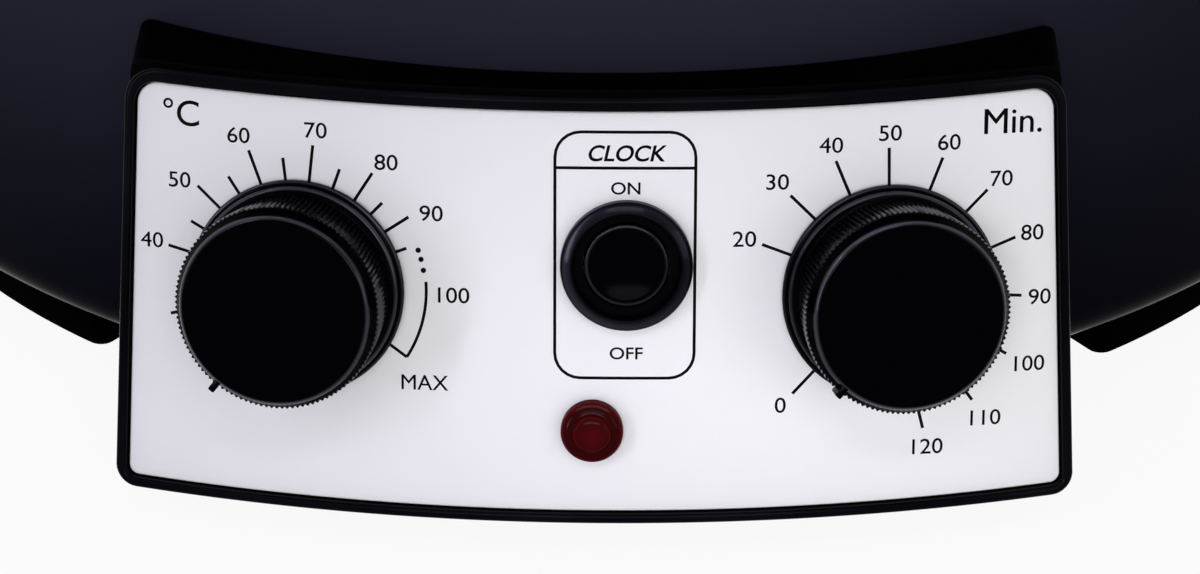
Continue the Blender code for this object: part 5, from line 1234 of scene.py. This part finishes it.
floor = slab("studio_floor", [polar(FLOOR_REACH, 5 * i) for i in range(72)], -0.004, 0.0, Matrix())
paper = bpy.data.materials.new("studio_paper")
paper.use_nodes = True
tree = paper.node_tree
sheet = tree.nodes["Principled BSDF"]
sheet.inputs["Base Color"].default_value = (0.8, 0.8, 0.8, 1)
sheet.inputs["Roughness"].default_value = 0.9
glow = node(tree, "ShaderNodeEmission", {"Color": WHITE, "Strength": 1.0})
distance = reckon_vector(tree, "LENGTH", on_surface(tree), out="Value")
fade = spread(tree, distance, 1 - SHADOW_SHARE, 1.0, SHADOW_START, SHADOW_REACH, "SMOOTHSTEP")
share = reckon(tree, "MULTIPLY", shown_directly(tree), fade)
paper_mix = node(tree, "ShaderNodeMixShader", {0: share, 1: sheet.outputs[0], 2: glow})
tree.links.new(paper_mix, tree.nodes["Material Output"].inputs["Surface"])
floor.data.materials.append(paper)

world = bpy.data.worlds.new("studio_room")
bpy.context.scene.world = world
world.use_nodes = True
tree = world.node_tree
dim = tree.nodes["Background"]
dim.inputs["Color"].default_value = (0.98, 0.98, 1.0, 1)
dim.inputs["Strength"].default_value = 0.40
backdrop = node(tree, "ShaderNodeBackground", {"Color": WHITE, "Strength": 1.0})
room = node(tree, "ShaderNodeMixShader", {0: shown_directly(tree), 1: dim.outputs[0], 2: backdrop})
tree.links.new(room, tree.nodes["World Output"].inputs["Surface"])


def soft_box(name, place, aim, size, power, colour=(1.0, 1.0, 1.0)):
    """A rectangular lamp at a place, turned to an aim."""
    lamp = bpy.data.lights.new(name, "AREA")
    lamp.shape = "RECTANGLE"
    lamp.size, lamp.size_y = size
    lamp.energy = power
    lamp.color = colour
    box = bpy.data.objects.new(name, lamp)
    facing = (Vector(aim) - Vector(place)).to_track_quat("-Z", "Y").to_matrix().to_4x4()
    box.matrix_world = Matrix.Translation(place) @ facing
    bpy.context.scene.collection.objects.link(box)


panel = (0, -0.18, 0.06)
soft_box("left_strip", (-0.90, -0.95, 0.55), panel, (0.075, 1.05), 4.4, (0.86, 0.84, 1.0))
soft_box("right_box", (0.80, -1.0, 0.35), (0, -0.17, 0.05), (0.5, 0.5), 1.6)
soft_box("high_strip", (0.0, -0.95, 1.10), panel, (0.70, 0.14), 1.8, (0.94, 0.93, 1.0))
soft_box("front_box", (0.0, -1.60, 0.66), panel, (0.9, 0.28), 7.0, (0.96, 0.96, 1.0))
soft_box("top_box", (0.0, 0.3, 1.8), (0, 0, 0.1), (0.8, 0.4), 8.0)

CAMERA_PLACE = Vector((0.014823, -0.907512, 0.469105))
CAMERA_AHEAD = Vector((-0.018166, 0.867228, -0.497580)).normalized()
CAMERA_ROLL = math.radians(-0.12)
camera = bpy.data.cameras.new("photo_camera")
camera.lens = 134.34
camera.sensor_width = 36.0
camera.shift_x = 0.00733
camera.clip_start = 0.01
view = bpy.data.objects.new("photo_camera", camera)
right = CAMERA_AHEAD.cross(Vector((0, 0, 1))).normalized()
facing = Matrix((right, right.cross(CAMERA_AHEAD), -CAMERA_AHEAD)).transposed().to_4x4()
view.matrix_world = Matrix.Translation(CAMERA_PLACE) @ facing @ Matrix.Rotation(CAMERA_ROLL, 4, "Z")
bpy.context.scene.collection.objects.link(view)
bpy.context.scene.camera = view
bpy.context.scene.view_settings.view_transform = "Standard"
